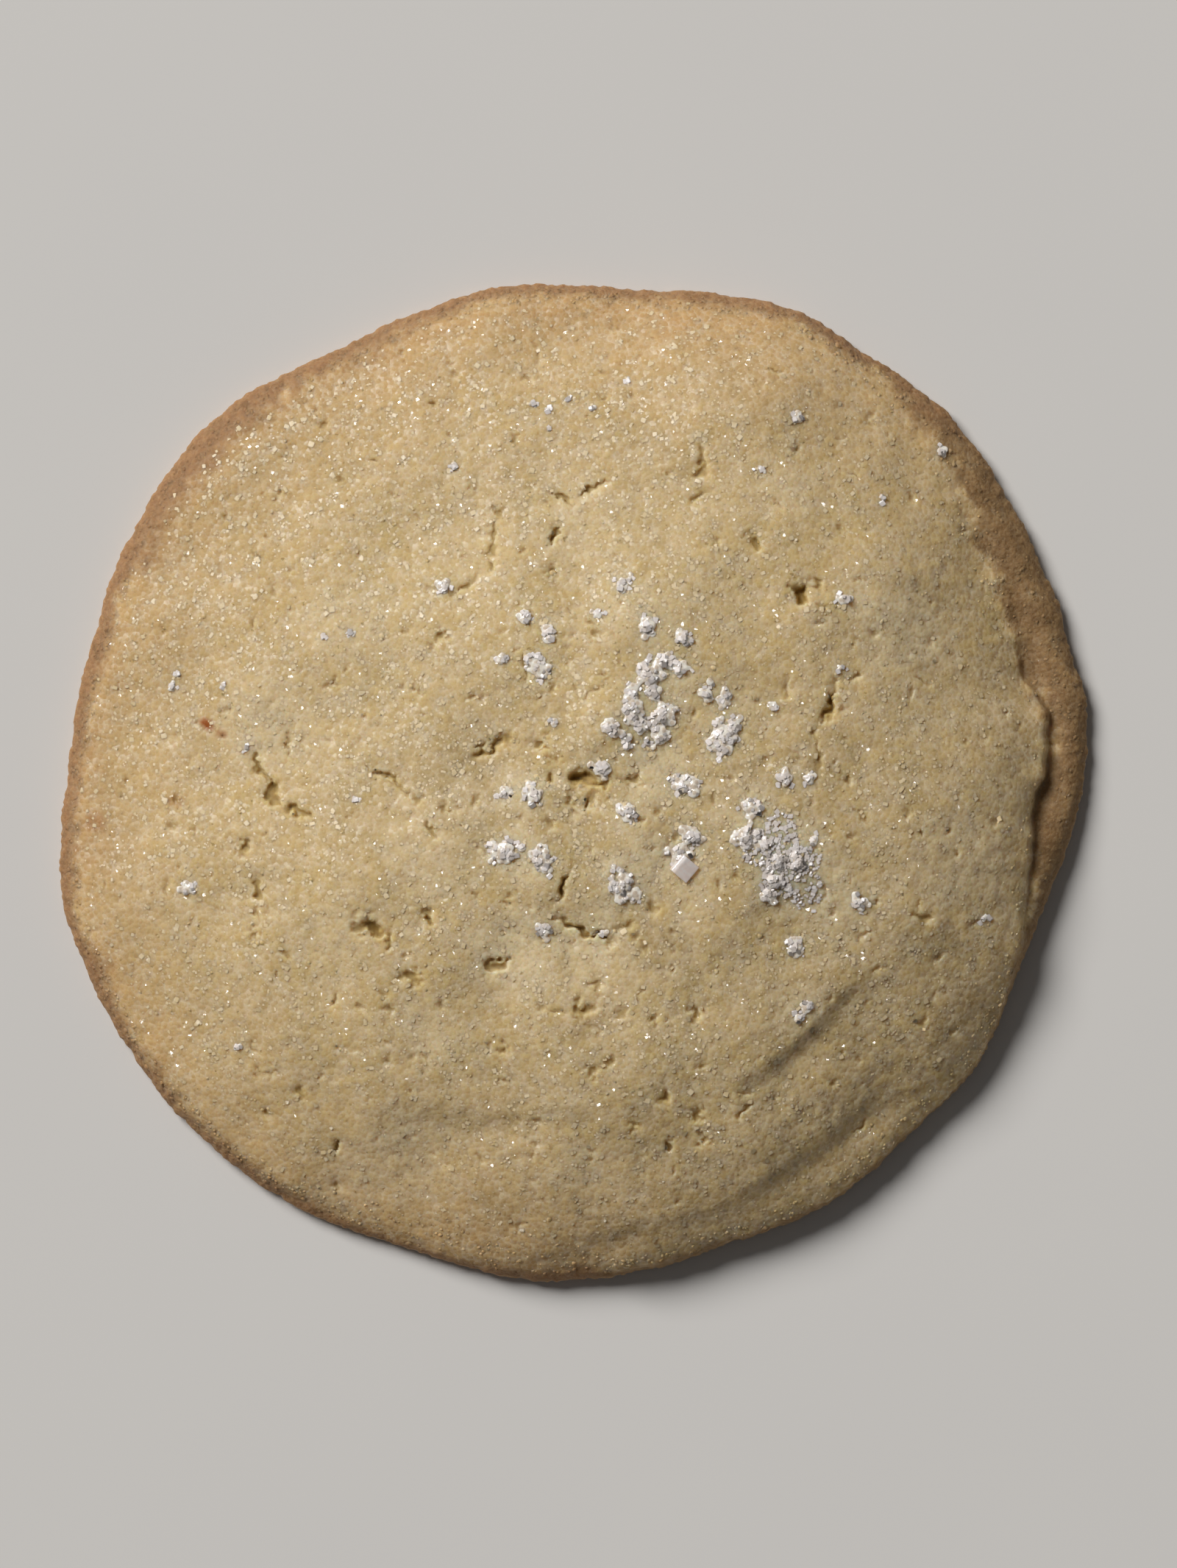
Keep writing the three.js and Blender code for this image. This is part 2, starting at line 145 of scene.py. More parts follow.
# %% The height of the crust
HEIGHT = 9.8
EDGE_POWER = 1.6
WAIST = 0.4
CLIFF_WIDTH = 0.6
CREASE_MARGIN = 1.5
WANDER_REACH = 2.5
WANDER_BAND = (1.0, 3.0)
WAVES = [
    (23, 20, 40, 0.12), (17, 95, 200, 0.12), (13, 150, 110, 0.1), (10.5, 60, 300, 0.08),
    (8.2, 120, 20, 0.06), (7.1, 5, 250, 0.05),
]
WAVE_MARGIN = 5.0
FOLDS = [
    ([(12.0, -23.6), (14.8, -22.2), (16.8, -20.6), (19.0, -18.6), (20.6, -16.6), (23.0, -14.6)],
     0.55, 0.8, 9.0),
    ([(-15.0, -25.0), (-9.0, -26.0), (-4.0, -26.2), (1.5, -25.6)], 0.42, 1.2, 3.5),
    ([(-6.0, -37.9), (-2.0, -37.3), (1.2, -36.0), (4.2, -34.6), (8.0, -34.2), (11.0, -33.5), (15.5, -30.8),
      (20.0, -27.6), (22.5, -25.4), (26.0, -24.2), (28.6, -23.3), (30.1, -21.0), (30.3, -18.4),
      (31.6, -16.2), (33.5, -13.0)], 0.48, 1.0, 15.0),
    ([(6.8, 27.5), (9.4, 23.0), (13.4, 18.4), (17.6, 13.6)], 0.35, 1.5, 4.0),
    ([(-13.0, -10.0), (-4.0, -11.0), (1.0, -11.6), (4.0, -13.2), (10.0, -12.8)], 0.12, 1.2, 4.0),
]
MOUNDS = [
    (5.0, -3.6, 4.2, 0.35), (2.6, -8.6, 3.6, 0.25), (-3.4, -8.2, 3.4, 0.15), (-9.0, 2.0, 4.5, 0.25),
    (1.5, 4.6, 4.2, 0.4), (14.5, -6.0, 4.6, 0.3), (-5.5, 11.5, 4.5, 0.2), (11.0, 30.0, 9.0, 0.7),
    (34.0, 7.0, 15.0, -1.1),
]


def smoothstep(value, low, high):
    """0 below low, 1 above high, and a soft rise between them."""
    t = np.clip((value - low) / (high - low), 0.0, 1.0)
    return t * t * (3.0 - 2.0 * t)


def along_path(x, y, path):
    """Distance to a path, positive on its right, and how far along it from 0 to 1."""
    nearest = np.full(np.shape(x), np.inf)
    signed = np.zeros(np.shape(x))
    along = np.zeros(np.shape(x))
    for i, ((ax, ay), (bx, by)) in enumerate(zip(path, path[1:])):
        dx, dy = bx - ax, by - ay
        t = np.clip(((x - ax) * dx + (y - ay) * dy) / (dx * dx + dy * dy), 0.0, 1.0)
        distance = np.hypot(x - ax - t * dx, y - ay - t * dy)
        closer = distance < nearest
        nearest = np.where(closer, distance, nearest)
        signed = np.where(closer, np.sign((x - ax) * dy - (y - ay) * dx) * distance, signed)
        along = np.where(closer, (i + t) / (len(path) - 1), along)
    return signed, along


def inside_dome(degrees, radius):
    """How far inside the dome a place is. Near the band, the line between them wanders."""
    width = np.maximum(0, around(BAND_WIDTH, degrees))
    gap = around(RIM, degrees) - width - radius
    wander = sum(reach * np.sin(np.radians(times * degrees + phase)) for times, phase, reach in WANDER)
    near_line = 1 - smoothstep(np.abs(gap), 0.0, WANDER_REACH)
    return gap + wander * smoothstep(width, *WANDER_BAND) * near_line


def skin(x, y):
    """Height of the crust in mm over the table, at places in mm from the outline's centre."""
    degrees = np.degrees(np.arctan2(y, x))
    radius = np.hypot(x, y)
    rim = around(RIM, degrees)
    band_height = around(BAND_HEIGHT, degrees)
    rounding = around(EDGE_ROUND, degrees) * band_height
    outward = np.clip((radius - rim + rounding) / rounding, 0.0, 1.0)
    edge = band_height * (WAIST + (1 - WAIST) * (1 - outward ** EDGE_POWER) ** (1 / EDGE_POWER))
    gap = inside_dome(degrees, radius)
    crease = np.maximum(0, around(CREASE, degrees)) * smoothstep(rim - radius, 0.0, CREASE_MARGIN)
    filled = 0.5 * (gap + np.sqrt(gap ** 2 + crease ** 2))
    reach = np.clip(1 - filled / (gap + radius), 0.0, 1.0)
    roundness = (1 - reach ** around(CROWN_POWER, degrees)) ** around(CROWN_EDGE, degrees)
    cliff = np.maximum(0, around(CLIFF, degrees))
    crown = (HEIGHT - band_height) * (cliff * smoothstep(gap, 0.0, CLIFF_WIDTH) + (1 - cliff) * roundness)
    relief = np.zeros(np.shape(x))
    for length, heading, phase, height in WAVES:
        travel = x * math.cos(math.radians(heading)) + y * math.sin(math.radians(heading))
        relief += height * np.sin(2 * math.pi * travel / length + math.radians(phase))
    for mound_x, mound_y, size, height in MOUNDS:
        relief += height * np.exp(-2 * ((x - mound_x) ** 2 + (y - mound_y) ** 2) / size ** 2)
    for path, drop, width, fade in FOLDS:
        signed, along = along_path(x, y, path)
        taper = np.sqrt(np.sin(math.pi * along))
        relief -= drop * taper * smoothstep(signed, -width, width) * np.exp(-np.maximum(0, signed) / fade)
    return edge + crown + relief * smoothstep(rim - radius, 0.0, WAVE_MARGIN)


print("height at the middle, mm:", round(float(skin(np.array([0.0]), np.array([0.0]))[0]), 2))

# %% [markdown]
# ## Uneven numbers
#
# Crumb has no straight lines, so widths, depths and colours need an uneven field to follow. This
# is value noise: random numbers on the corners of a square lattice, with a soft blend between
# them. The numbers come from a seed, so the cookie is the same each time it is baked.

# %% A field of soft random values
LATTICE = 128


def noise(x, y, cell, seed):
    """Soft random values from -1 to 1 that change over cells of this many mm."""
    corners = np.random.default_rng(seed).uniform(-1.0, 1.0, (LATTICE, LATTICE))
    column, row = x / cell, y / cell
    left, low = np.floor(column).astype(int), np.floor(row).astype(int)
    across = smoothstep(column - left, 0.0, 1.0)
    up = smoothstep(row - low, 0.0, 1.0)

    def corner(i, j):
        return corners[(low + j) % LATTICE, (left + i) % LATTICE]

    bottom = corner(0, 0) * (1 - across) + corner(1, 0) * across
    top = corner(0, 1) * (1 - across) + corner(1, 1) * across
    return bottom * (1 - up) + top * up


# %% [markdown]
# ## Cracks, pits and pores
#
# As the cookie bakes, its dry crust tears while the crumb under it still rises. The tears are
# short, ragged and deep, and round pits open where steam came out. They could be cut with
# booleans, but a ragged cut leaves a messy mesh. Instead they are drawn as depths on a fine
# map of the crust, seen from above, and the mesh is pushed down by that map afterwards.

# %% The map of hollows
CRACKS = [
    ([(-1.9, 1.5), (-1.4, 0.6), (-0.5, 0.4), (0.6, 0.3), (1.5, -0.1), (2.3, -0.3)], 1.0, 1.3),
    ([(2.2, -0.3), (3.2, 0.2), (4.2, -0.1), (4.9, 0.5)], 0.4, 0.5),
    ([(1.5, -0.3), (1.1, -1.2), (0.8, -2.1)], 0.45, 0.6),
    ([(-9.3, 1.3), (-7.8, 1.9), (-6.4, 2.2), (-5.8, 3.1), (-5.1, 3.6)], 0.5, 0.6),
    ([(-3.8, 3.2), (-3.1, 2.7), (-2.4, 3.0)], 0.6, 0.6),
    ([(2.3, 2.8), (2.6, 2.3), (2.7, 1.8)], 0.45, 0.5),
    ([(-0.2, -6.0), (-0.8, -7.5), (-1.1, -8.5), (-1.7, -9.3), (-2.3, -10.3), (-3.4, -10.7)], 0.45, 0.8),
    ([(-1.8, -10.4), (-1.0, -10.7), (0.6, -11.5), (1.9, -11.9), (2.9, -12.6)], 0.5, 0.8),
    ([(-15.6, 0.9), (-14.9, 0.6), (-13.8, 0.3), (-13.0, -0.7), (-12.1, -1.5)], 0.45, 0.6),
    ([(-12.1, -1.6), (-11.9, -2.9), (-10.9, -3.6), (-10.6, -4.5)], 0.4, 0.5),
    ([(-24.9, 2.6), (-24.4, 0.9), (-23.8, 0.0), (-23.3, -1.0), (-22.6, -1.9), (-21.9, -2.3),
      (-20.0, -2.6)], 0.6, 0.8),
    ([(-25.4, -4.4), (-25.6, -5.2), (-25.9, -5.9)], 0.7, 0.6),
    ([(-24.1, -7.1), (-24.5, -8.1), (-24.2, -9.3)], 0.45, 0.6),
    ([(-21.8, 4.9), (-21.6, 3.5), (-22.2, 2.8), (-21.8, 1.5)], 0.35, 0.35),
    ([(-19.2, 4.1), (-18.2, 4.5), (-17.1, 4.7)], 0.35, 0.35),
    ([(-17.4, 2.5), (-16.8, 1.8)], 0.4, 0.5),
    ([(-16.8, -11.0), (-15.9, -11.1), (-15.2, -11.3), (-14.5, -12.0), (-14.2, -13.1)], 0.5, 0.8),
    ([(-11.7, -10.2), (-10.8, -11.3)], 0.45, 0.7),
    ([(-7.2, -14.2), (-6.2, -14.0), (-5.2, -13.7)], 0.5, 0.6),
    ([(-6.0, 19.8), (-6.5, 18.8), (-6.1, 18.2), (-6.7, 17.4), (-6.6, 16.5), (-7.6, 16.0),
      (-8.1, 15.3), (-10.0, 14.1)], 0.5, 0.6),
    ([(-2.1, 22.6), (-1.1, 21.9), (-0.3, 21.4), (0.6, 21.9), (1.5, 22.5), (2.2, 23.3)], 0.45, 0.6),
    ([(-1.2, 19.7), (-1.6, 18.9), (-1.4, 18.2)], 0.4, 0.7),
    ([(-11.1, 15.1), (-11.4, 14.0)], 0.4, 0.6),
    ([(-3.9, 9.8), (-3.8, 7.5)], 0.4, 0.4),
    ([(9.9, 25.9), (9.7, 23.8), (9.9, 22.2), (9.1, 21.2)], 0.5, 0.5),
    ([(16.4, 15.0), (17.5, 14.8), (18.2, 15.2), (19.0, 15.7)], 0.55, 0.7),
    ([(17.4, 15.0), (17.6, 13.6)], 0.9, 1.0),
    ([(13.0, 18.9), (13.7, 18.2), (14.3, 17.7)], 0.45, 0.6),
    ([(20.0, 8.1), (19.8, 7.0), (19.5, 5.4), (19.1, 4.8)], 0.45, 0.8),
    ([(18.9, 4.7), (18.4, 3.5), (18.6, 2.2), (18.4, 1.0), (18.5, -0.9)], 0.4, 0.5),
    ([(14.4, 2.1), (14.7, 0.9)], 0.4, 0.4),
    ([(16.3, 7.9), (16.2, 6.5)], 0.4, 0.35),
    ([(27.7, -10.6), (25.5, -10.3)], 0.45, 0.4),
    ([(4.0, -17.5), (2.0, -17.9)], 0.45, 0.3),
    ([(6.1, -24.8), (7.3, -23.8)], 0.7, 0.5),
    ([(7.0, -27.6), (7.4, -28.1), (7.1, -28.5)], 0.4, 0.5),
    ([(-18.5, -27.5), (-18.6, -28.7)], 0.4, 0.7),
    ([(-22.8, -22.5), (-24.8, -22.9)], 0.4, 0.3),
]
PITS = [
    (-5.9, 20.7, 0.8), (-7.8, 22.5, 0.6), (-4.7, 26.3, 0.7), (-1.8, 16.1, 0.8), (-10.3, 11.3, 0.9),
    (1.5, 11.3, 0.8), (-1.7, 7.2, 0.7), (-7.1, 6.4, 0.6), (-2.1, 3.6, 0.5), (-5.4, 3.3, 0.9),
    (-10.1, -2.0, 0.8), (-9.0, -1.9, 0.5), (-7.6, -1.4, 0.7), (-12.1, -1.4, 0.8), (-1.9, -3.2, 0.7),
    (-4.2, -2.8, 0.45), (6.5, -2.4, 0.6), (12.4, -7.3, 0.6), (5.9, -9.7, 0.8), (5.3, -12.7, 0.75),
    (2.6, -12.3, 0.8), (-16.4, -11.2, 1.0), (-12.7, -15.0, 1.2), (-10.3, -17.1, 0.7), (-5.5, -20.5, 0.8),
    (-2.6, -17.3, 0.6), (0.5, -17.5, 1.2), (9.3, -17.8, 1.0), (1.3, -22.2, 0.9), (2.7, -21.6, 0.7),
    (9.6, -21.9, 0.7), (9.3, -25.7, 0.9), (9.9, -27.6, 0.9), (4.5, -26.4, 0.8), (1.3, -28.4, 0.5),
    (-3.0, -27.9, 0.6), (6.0, -18.3, 0.7), (7.4, -14.5, 0.5), (5.1, -16.1, 0.5), (1.8, -16.4, 0.5),
    (-24.7, -11.8, 0.8), (-25.6, -5.2, 0.8), (-23.9, -4.1, 0.5), (-29.4, -3.7, 0.5), (-30.9, -1.5, 0.7),
    (19.4, 5.1, 0.9), (21.5, 10.8, 0.7), (22.9, 11.3, 0.6), (25.5, -2.4, 0.6), (25.9, 22.0, 0.6),
    (-19.5, 27.6, 0.7), (-18.0, 23.3, 0.6), (-14.1, 22.0, 0.6), (-22.0, 16.3, 0.4), (9.7, 23.8, 0.7),
    (7.0, 23.6, 0.7), (-14.3, -17.5, 0.7), (-21.3, -23.9, 0.8), (-14.4, -21.5, 0.6), (-19.5, -22.6, 0.5),
    (-31.9, 11.6, 0.5), (10.8, 18.5, 0.6), (-16.9, -10.1, 0.6), (17.0, 25.5, 0.6), (-3.7, 31.2, 0.6),
]
PIT_HOLES = [(0.0, 0.0, 0.85), (0.5, 0.3, 0.55), (-0.45, 0.35, 0.5), (-0.1, -0.6, 0.4)]
PIT_DEPTH, PIT_STRETCH, PIT_TURN, PIT_SEED = 0.4, 1.4, 2.4, 500
CRACK_REACH = 2.5
CRACK_BENDS = [(0.9, 0.3), (0.34, 0.2)]
CRACK_DEPTH = 0.85
SAG_DEPTH, SAG_REACH = 0.22, 1.1
LIP_HEIGHT, LIP_WIDTH = 0.08, 0.3
MAP_CELL = 0.06
MAP_HALF = 42.0
map_size = int(2 * MAP_HALF / MAP_CELL)
map_line = -MAP_HALF + MAP_CELL * (np.arange(map_size) + 0.5)
hollow_map = np.zeros((map_size, map_size))
lift_map = np.zeros((map_size, map_size))


def window(x_low, x_high, y_low, y_high):
    """The part of the map between these sides: its slices, and the places of its cells."""
    columns = slice(*np.searchsorted(map_line, (x_low, x_high)))
    rows = slice(*np.searchsorted(map_line, (y_low, y_high)))
    x, y = np.meshgrid(map_line[columns], map_line[rows])
    return (rows, columns), x, y


def ragged_shift(x, y, seed):
    """A shift in mm that makes a straight line ragged."""
    return sum(reach * noise(x, y, cell, seed + i) for i, (cell, reach) in enumerate(CRACK_BENDS))


def draw_crack(path, width, depth, seed):
    """Draws one ragged crack, with a low torn lip along it and a soft sag to both sides."""
    (x_low, y_low), (x_high, y_high) = np.min(path, axis=0) - CRACK_REACH, np.max(path, axis=0) + CRACK_REACH
    part, x, y = window(x_low, x_high, y_low, y_high)
    signed, along = along_path(x + ragged_shift(x, y, seed), y + ragged_shift(x, y, seed + 2), path)
    distance = np.abs(signed)
    taper = np.clip(4 * along * (1 - along), 0.0, 1.0) ** 0.4
    open_part = smoothstep(noise(x, y, 1.2, seed + 6), -0.7, 0.2)
    half = 0.5 * width * taper * (1 + 0.8 * noise(x, y, 0.6, seed + 4)) + 0.03
    hollow = CRACK_DEPTH * depth * taper * open_part * (1 - smoothstep(distance / half, 0.3, 1.2))
    hollow_map[part] = np.maximum(hollow_map[part], hollow)
    beside = (distance - half - LIP_WIDTH) / LIP_WIDTH
    sag = SAG_DEPTH * min(1.0, width) * taper * np.exp(-((distance / SAG_REACH) ** 2))
    lip = LIP_HEIGHT * min(1.0, width) * taper * np.exp(-(beside ** 2))
    lift_map[part] += (lip * (1 + noise(x, y, 0.8, seed + 5)) - sag) * (1 - smoothstep(hollow, 0.0, 0.2))


def draw_pit(pit_x, pit_y, size, depth, seed, stretch, heading):
    """Draws one uneven pit."""
    reach = size * max(1.0, stretch) + 0.4
    part, x, y = window(pit_x - reach, pit_x + reach, pit_y - reach, pit_y + reach)
    along = (x - pit_x) * math.cos(heading) + (y - pit_y) * math.sin(heading)
    across = (y - pit_y) * math.cos(heading) - (x - pit_x) * math.sin(heading)
    wobble = 1 + 0.75 * noise(x, y, 0.5 * size, seed) + 0.45 * noise(x, y, 0.25 * size, seed + 1)
    distance = np.hypot(along / stretch, across) / (0.5 * size * np.maximum(0.2, wobble))
    hollow_map[part] = np.maximum(hollow_map[part], depth * (1 - smoothstep(distance, 0.2, 1.2)))


for number, (path, width, depth) in enumerate(CRACKS):
    draw_crack(path, width, depth, seed=10 * number)
for number, (pit_x, pit_y, size) in enumerate(PITS):
    heading = PIT_TURN * number
    for hole, (ahead, aside, share) in enumerate(PIT_HOLES):
        hole_x = pit_x + size * (ahead * math.cos(heading) - aside * math.sin(heading))
        hole_y = pit_y + size * (ahead * math.sin(heading) + aside * math.cos(heading))
        seed = PIT_SEED + 8 * number + 2 * hole
        draw_pit(hole_x, hole_y, share * size, PIT_DEPTH * share * size, seed, PIT_STRETCH, heading + hole)
print("cracks:", len(CRACKS), "pits:", len(PITS), "deepest, mm:", round(float(hollow_map.max()), 2))

# %% [markdown]
# Between the large pits the whole crust is peppered with pores, a few tenths of a millimetre
# wide, and with hair-fine tears. They are too many to place by hand, so a seeded draw scatters
# them, more in the middle than near the rim.

# %% Scattered pores and hair-fine tears
PORE_COUNT, PORE_SIZES, PORE_DEPTH, PORE_STRETCH = 380, (0.22, 0.52), 0.42, (1.0, 2.6)
TEAR_COUNT, TEAR_LENGTHS, TEAR_WIDTHS, TEAR_DEPTHS = 90, (0.6, 1.8), (0.18, 0.32), (0.15, 0.35)
dice = np.random.default_rng(31)


def scatter(count, reach=0.93):
    """Random places on the crust, thinner towards the rim."""
    angle = dice.uniform(0, 2 * math.pi, count)
    radius = reach * around(RIM, np.degrees(angle)) * np.sqrt(dice.uniform(0, 1, count)) ** 1.15
    return radius * np.cos(angle), radius * np.sin(angle)


for x, y in zip(*scatter(PORE_COUNT)):
    size = PORE_SIZES[0] + (PORE_SIZES[1] - PORE_SIZES[0]) * dice.random() ** 2.5
    seed, stretch = int(dice.integers(10000)), dice.uniform(*PORE_STRETCH)
    draw_pit(x, y, size, PORE_DEPTH * size, seed, stretch, dice.uniform(0, math.pi))
for x, y in zip(*scatter(TEAR_COUNT)):
    heading, length = dice.uniform(0, 2 * math.pi), dice.uniform(*TEAR_LENGTHS)
    ahead_x, ahead_y = length * math.cos(heading), length * math.sin(heading)
    steps = [(x + t * ahead_x, y + t * ahead_y) for t in (-0.5, 0, 0.5)]
    draw_crack(steps, dice.uniform(*TEAR_WIDTHS), dice.uniform(*TEAR_DEPTHS), int(dice.integers(10000)))
print("pores:", PORE_COUNT, "tears:", TEAR_COUNT)


def on_map(layer, x, y):
    """The value of a map at any places, blended between its cells."""
    column = np.clip((x + MAP_HALF) / MAP_CELL - 0.5, 0, map_size - 1.001)
    row = np.clip((y + MAP_HALF) / MAP_CELL - 0.5, 0, map_size - 1.001)
    left, low = column.astype(int), row.astype(int)
    across, up = column - left, row - low
    bottom = layer[low, left] * (1 - across) + layer[low, left + 1] * across
    top = layer[low + 1, left] * (1 - across) + layer[low + 1, left + 1] * across
    return bottom * (1 - up) + top * up


# %% [markdown]
# ## The body of the cookie
#
# A ball of dough, pressed flat, is also the best start for its mesh. An icosphere has triangles
# of one size all over and no poles, and when its upper half is spread out evenly it covers the
# crust without a seam. The lower half becomes the flat underside, and the equator the widest
# line of the edge. That line is ragged, because crumb breaks off there: each place near it moves
# out or in by a tenth of a millimetre or so.

# %% Press an icosphere into the cookie
BASE_INSET = 0.45
RAGGED_EDGE = [(2.3, 0.12), (0.95, 0.06), (0.31, 0.09)]
RAGGED_MARGIN = (0.2, 1.4)
RAGGED_INSET = 0.05
ball_levels = 9
bpy.ops.mesh.primitive_ico_sphere_add(subdivisions=ball_levels, radius=1.0, location=(0, 0, 0))
body = bpy.context.object
body.name = body.data.name = "cookie_body"


def get_points(mesh):
    """All of a mesh's vertices as rows of x, y, z."""
    flat = np.empty(3 * len(mesh.vertices), dtype=np.float32)
    mesh.vertices.foreach_get("co", flat)
    return flat.reshape(-1, 3).astype(np.float64)


def set_points(mesh, points):
    """Moves all of a mesh's vertices."""
    mesh.vertices.foreach_set("co", np.ascontiguousarray(points, dtype=np.float32).ravel())
    mesh.update()


ball = get_points(body.data)
up = ball[:, 2]
share = np.sqrt(np.clip(1 - np.abs(up), 0.0, 1.0))
angle = np.arctan2(ball[:, 1], ball[:, 0])
rim = around(RIM, np.degrees(angle))
x, y = share * rim * np.cos(angle), share * rim * np.sin(angle)
top = skin(x, y) + on_map(lift_map, x, y) - on_map(hollow_map, x, y)
waist = WAIST * around(BAND_HEIGHT, np.degrees(angle))
inside = np.clip((rim - share * rim) / BASE_INSET, 0.0, 1.0)
underside = waist * (1 - np.sqrt(1 - (1 - inside) ** 2)) * (inside < 1)
height = np.where(up >= 0, top, underside)
near_edge = 1 - smoothstep(rim - share * rim, *RAGGED_MARGIN)
ragged = sum(reach * noise(x, y, cell, 60 + i) for i, (cell, reach) in enumerate(RAGGED_EDGE))
stretch = 1 + near_edge * (ragged - RAGGED_INSET) / rim
set_points(body.data, MM * np.column_stack([stretch * x - MIDDLE[0], stretch * y - MIDDLE[1], height]))
print("body:", len(body.data.polygons), "triangles before it is thinned")

# %% [markdown]
# ## Crumb
#
# The skin between the cracks isn't smooth either: it has soft lumps of a few millimetres, a
# crumb of about one, and a fine sandy grain. Three Displace modifiers with procedural textures
# add them, each at its own scale. They push along the surface's own normals, so the side of the
# edge gets its crumb too. A vertex group keeps them off the underside, which lay on the tray.

# %% Displace the crust
CRUMB_LAYERS = [("soft_lumps", 3.2, 0.15), ("crumb", 1.1, 0.12), ("sandy_grain", 0.4, 0.05)]
body.vertex_groups.new(name="crust").add(np.flatnonzero(up >= 0).tolist(), 1.0, "REPLACE")
for name, size, strength in CRUMB_LAYERS:
    texture = bpy.data.textures.new(name, "CLOUDS")
    texture.noise_scale = size * MM
    texture.noise_depth = 1
    displace = body.modifiers.new(name, "DISPLACE")
    displace.texture = texture
    displace.texture_coords = "LOCAL"
    displace.strength = strength * MM
    displace.vertex_group = "crust"
    bpy.ops.object.modifier_apply(modifier=name)
print("crumb layers:", [name for name, _, _ in CRUMB_LAYERS])

# %% [markdown]
# ## Fewer triangles
#
# The icosphere was dense enough for the finest pore, and most of that is wasted on the flat
# underside and on the smooth parts. Decimate joins the triangles that matter least and keeps
# those in cracks and pores.

# %% Thin the mesh
TRIANGLES = 194000
decimate = body.modifiers.new("thin", "DECIMATE")
decimate.ratio = min(1.0, TRIANGLES / len(body.data.polygons))
bpy.ops.object.modifier_apply(modifier=decimate.name)
body.vertex_groups.clear()
bpy.ops.object.shade_smooth()
print("body:", len(body.data.polygons), "triangles")

# %% [markdown]
# ## Where the crust is brown, hollow or frosted
#
# Colour on a baked thing follows its shape. The rim browned first, most at the upper left where
# the tray was hottest, and the thin band on the right is brown all over. Cracks and pits show the
# deeper yellow of moist crumb, darkened with painted shade as they deepen. Where sugar lies thickly
# the crust looks frosted, and the frosted patches also carry painted light, which lifts the shade of
# folds and cracks. Duller patches are partly a duller crust and partly painted shade, as along the
# dome's right edge. A few drops turned to caramel. All of this could be painted as an image. Here it
# is stored as attributes on the mesh, numbers for every vertex that the material can read, because
# they follow the same lists of sizes as the shape.

# %% Attributes for the material
BROWN_MARGIN = [
    (0, 2.0), (30, 2.0), (45, 2.8), (55, 2.4), (65, 1.9), (80, 1.6), (95, 1.6), (110, 2.2), (125, 2.8),
    (135, 3.2), (145, 2.8), (160, 2.4), (180, 1.8), (200, 1.8), (215, 1.6), (235, 1.1), (255, 0.8),
    (268, 1.4), (280, 1.0), (300, 0.6), (330, 0.6), (345, 1.5),
]
GOLDEN_EDGE = [
    (0, 0.25), (30, 0.45), (50, 0.8), (75, 1.4), (100, 1.2), (180, 1.05), (210, 0.9), (240, 0.7), (262, 1.0),
    (285, 0.4), (300, 0.3),
]
GOLDEN_FADE = 6.0
# Frosted patches: partly sugar lying thickly, partly painted light that lifts the shade of folds and cracks.
FROST_AND_LIGHT_PATCHES = [
    (16.3, -6.0, 6.4, 1.0), (3.6, -8.0, 4.0, 0.8), (4.2, -2.6, 3.4, 0.6), (-4.0, -5.8, 4.6, 0.7),
    (-10.5, -4.5, 9.0, 0.4), (-4.5, -1.0, 3.6, 0.6), (12.8, -2.8, 4.5, 0.7), (6.2, 6.5, 5.5, 0.5),
    (17.6, -17.4, 4.0, 0.6), (-7.0, 17.0, 5.0, 0.3), (2.0, -14.5, 6.0, 0.3), (20.5, -9.5, 5.0, 0.4),
    (8.4, -5.6, 3.6, 0.8), (-8.0, 24.5, 6.0, 0.3), (11.5, 5.5, 5.0, 0.4), (-29.9, -8.2, 3.0, 0.4),
    (6.0, 1.0, 5.0, 0.9), (-5.0, -13.0, 7.0, 0.9), (24.8, 12.0, 7.0, 0.8), (-24.0, 4.5, 7.0, 0.7),
    (8.5, -9.0, 4.5, 0.5), (6.0, -6.0, 6.0, 1.0), (1.0, -11.5, 6.0, 0.8), (19.0, -8.0, 6.0, 0.9),
    (-18.5, -12.5, 5.0, 0.6), (5.0, 12.0, 6.0, 0.6), (-13.0, -28.5, 7.0, 0.7), (0.5, -30.0, 5.0, 0.7),
    (-17.5, -31.0, 5.0, 0.6), (29.5, -6.5, 7.0, 0.7), (-18.0, 13.0, 7.0, 0.4), (0.0, 20.0, 8.0, 0.4),
    (17.0, 22.0, 6.0, 0.4), (-11.0, -19.0, 5.0, 0.6),
]
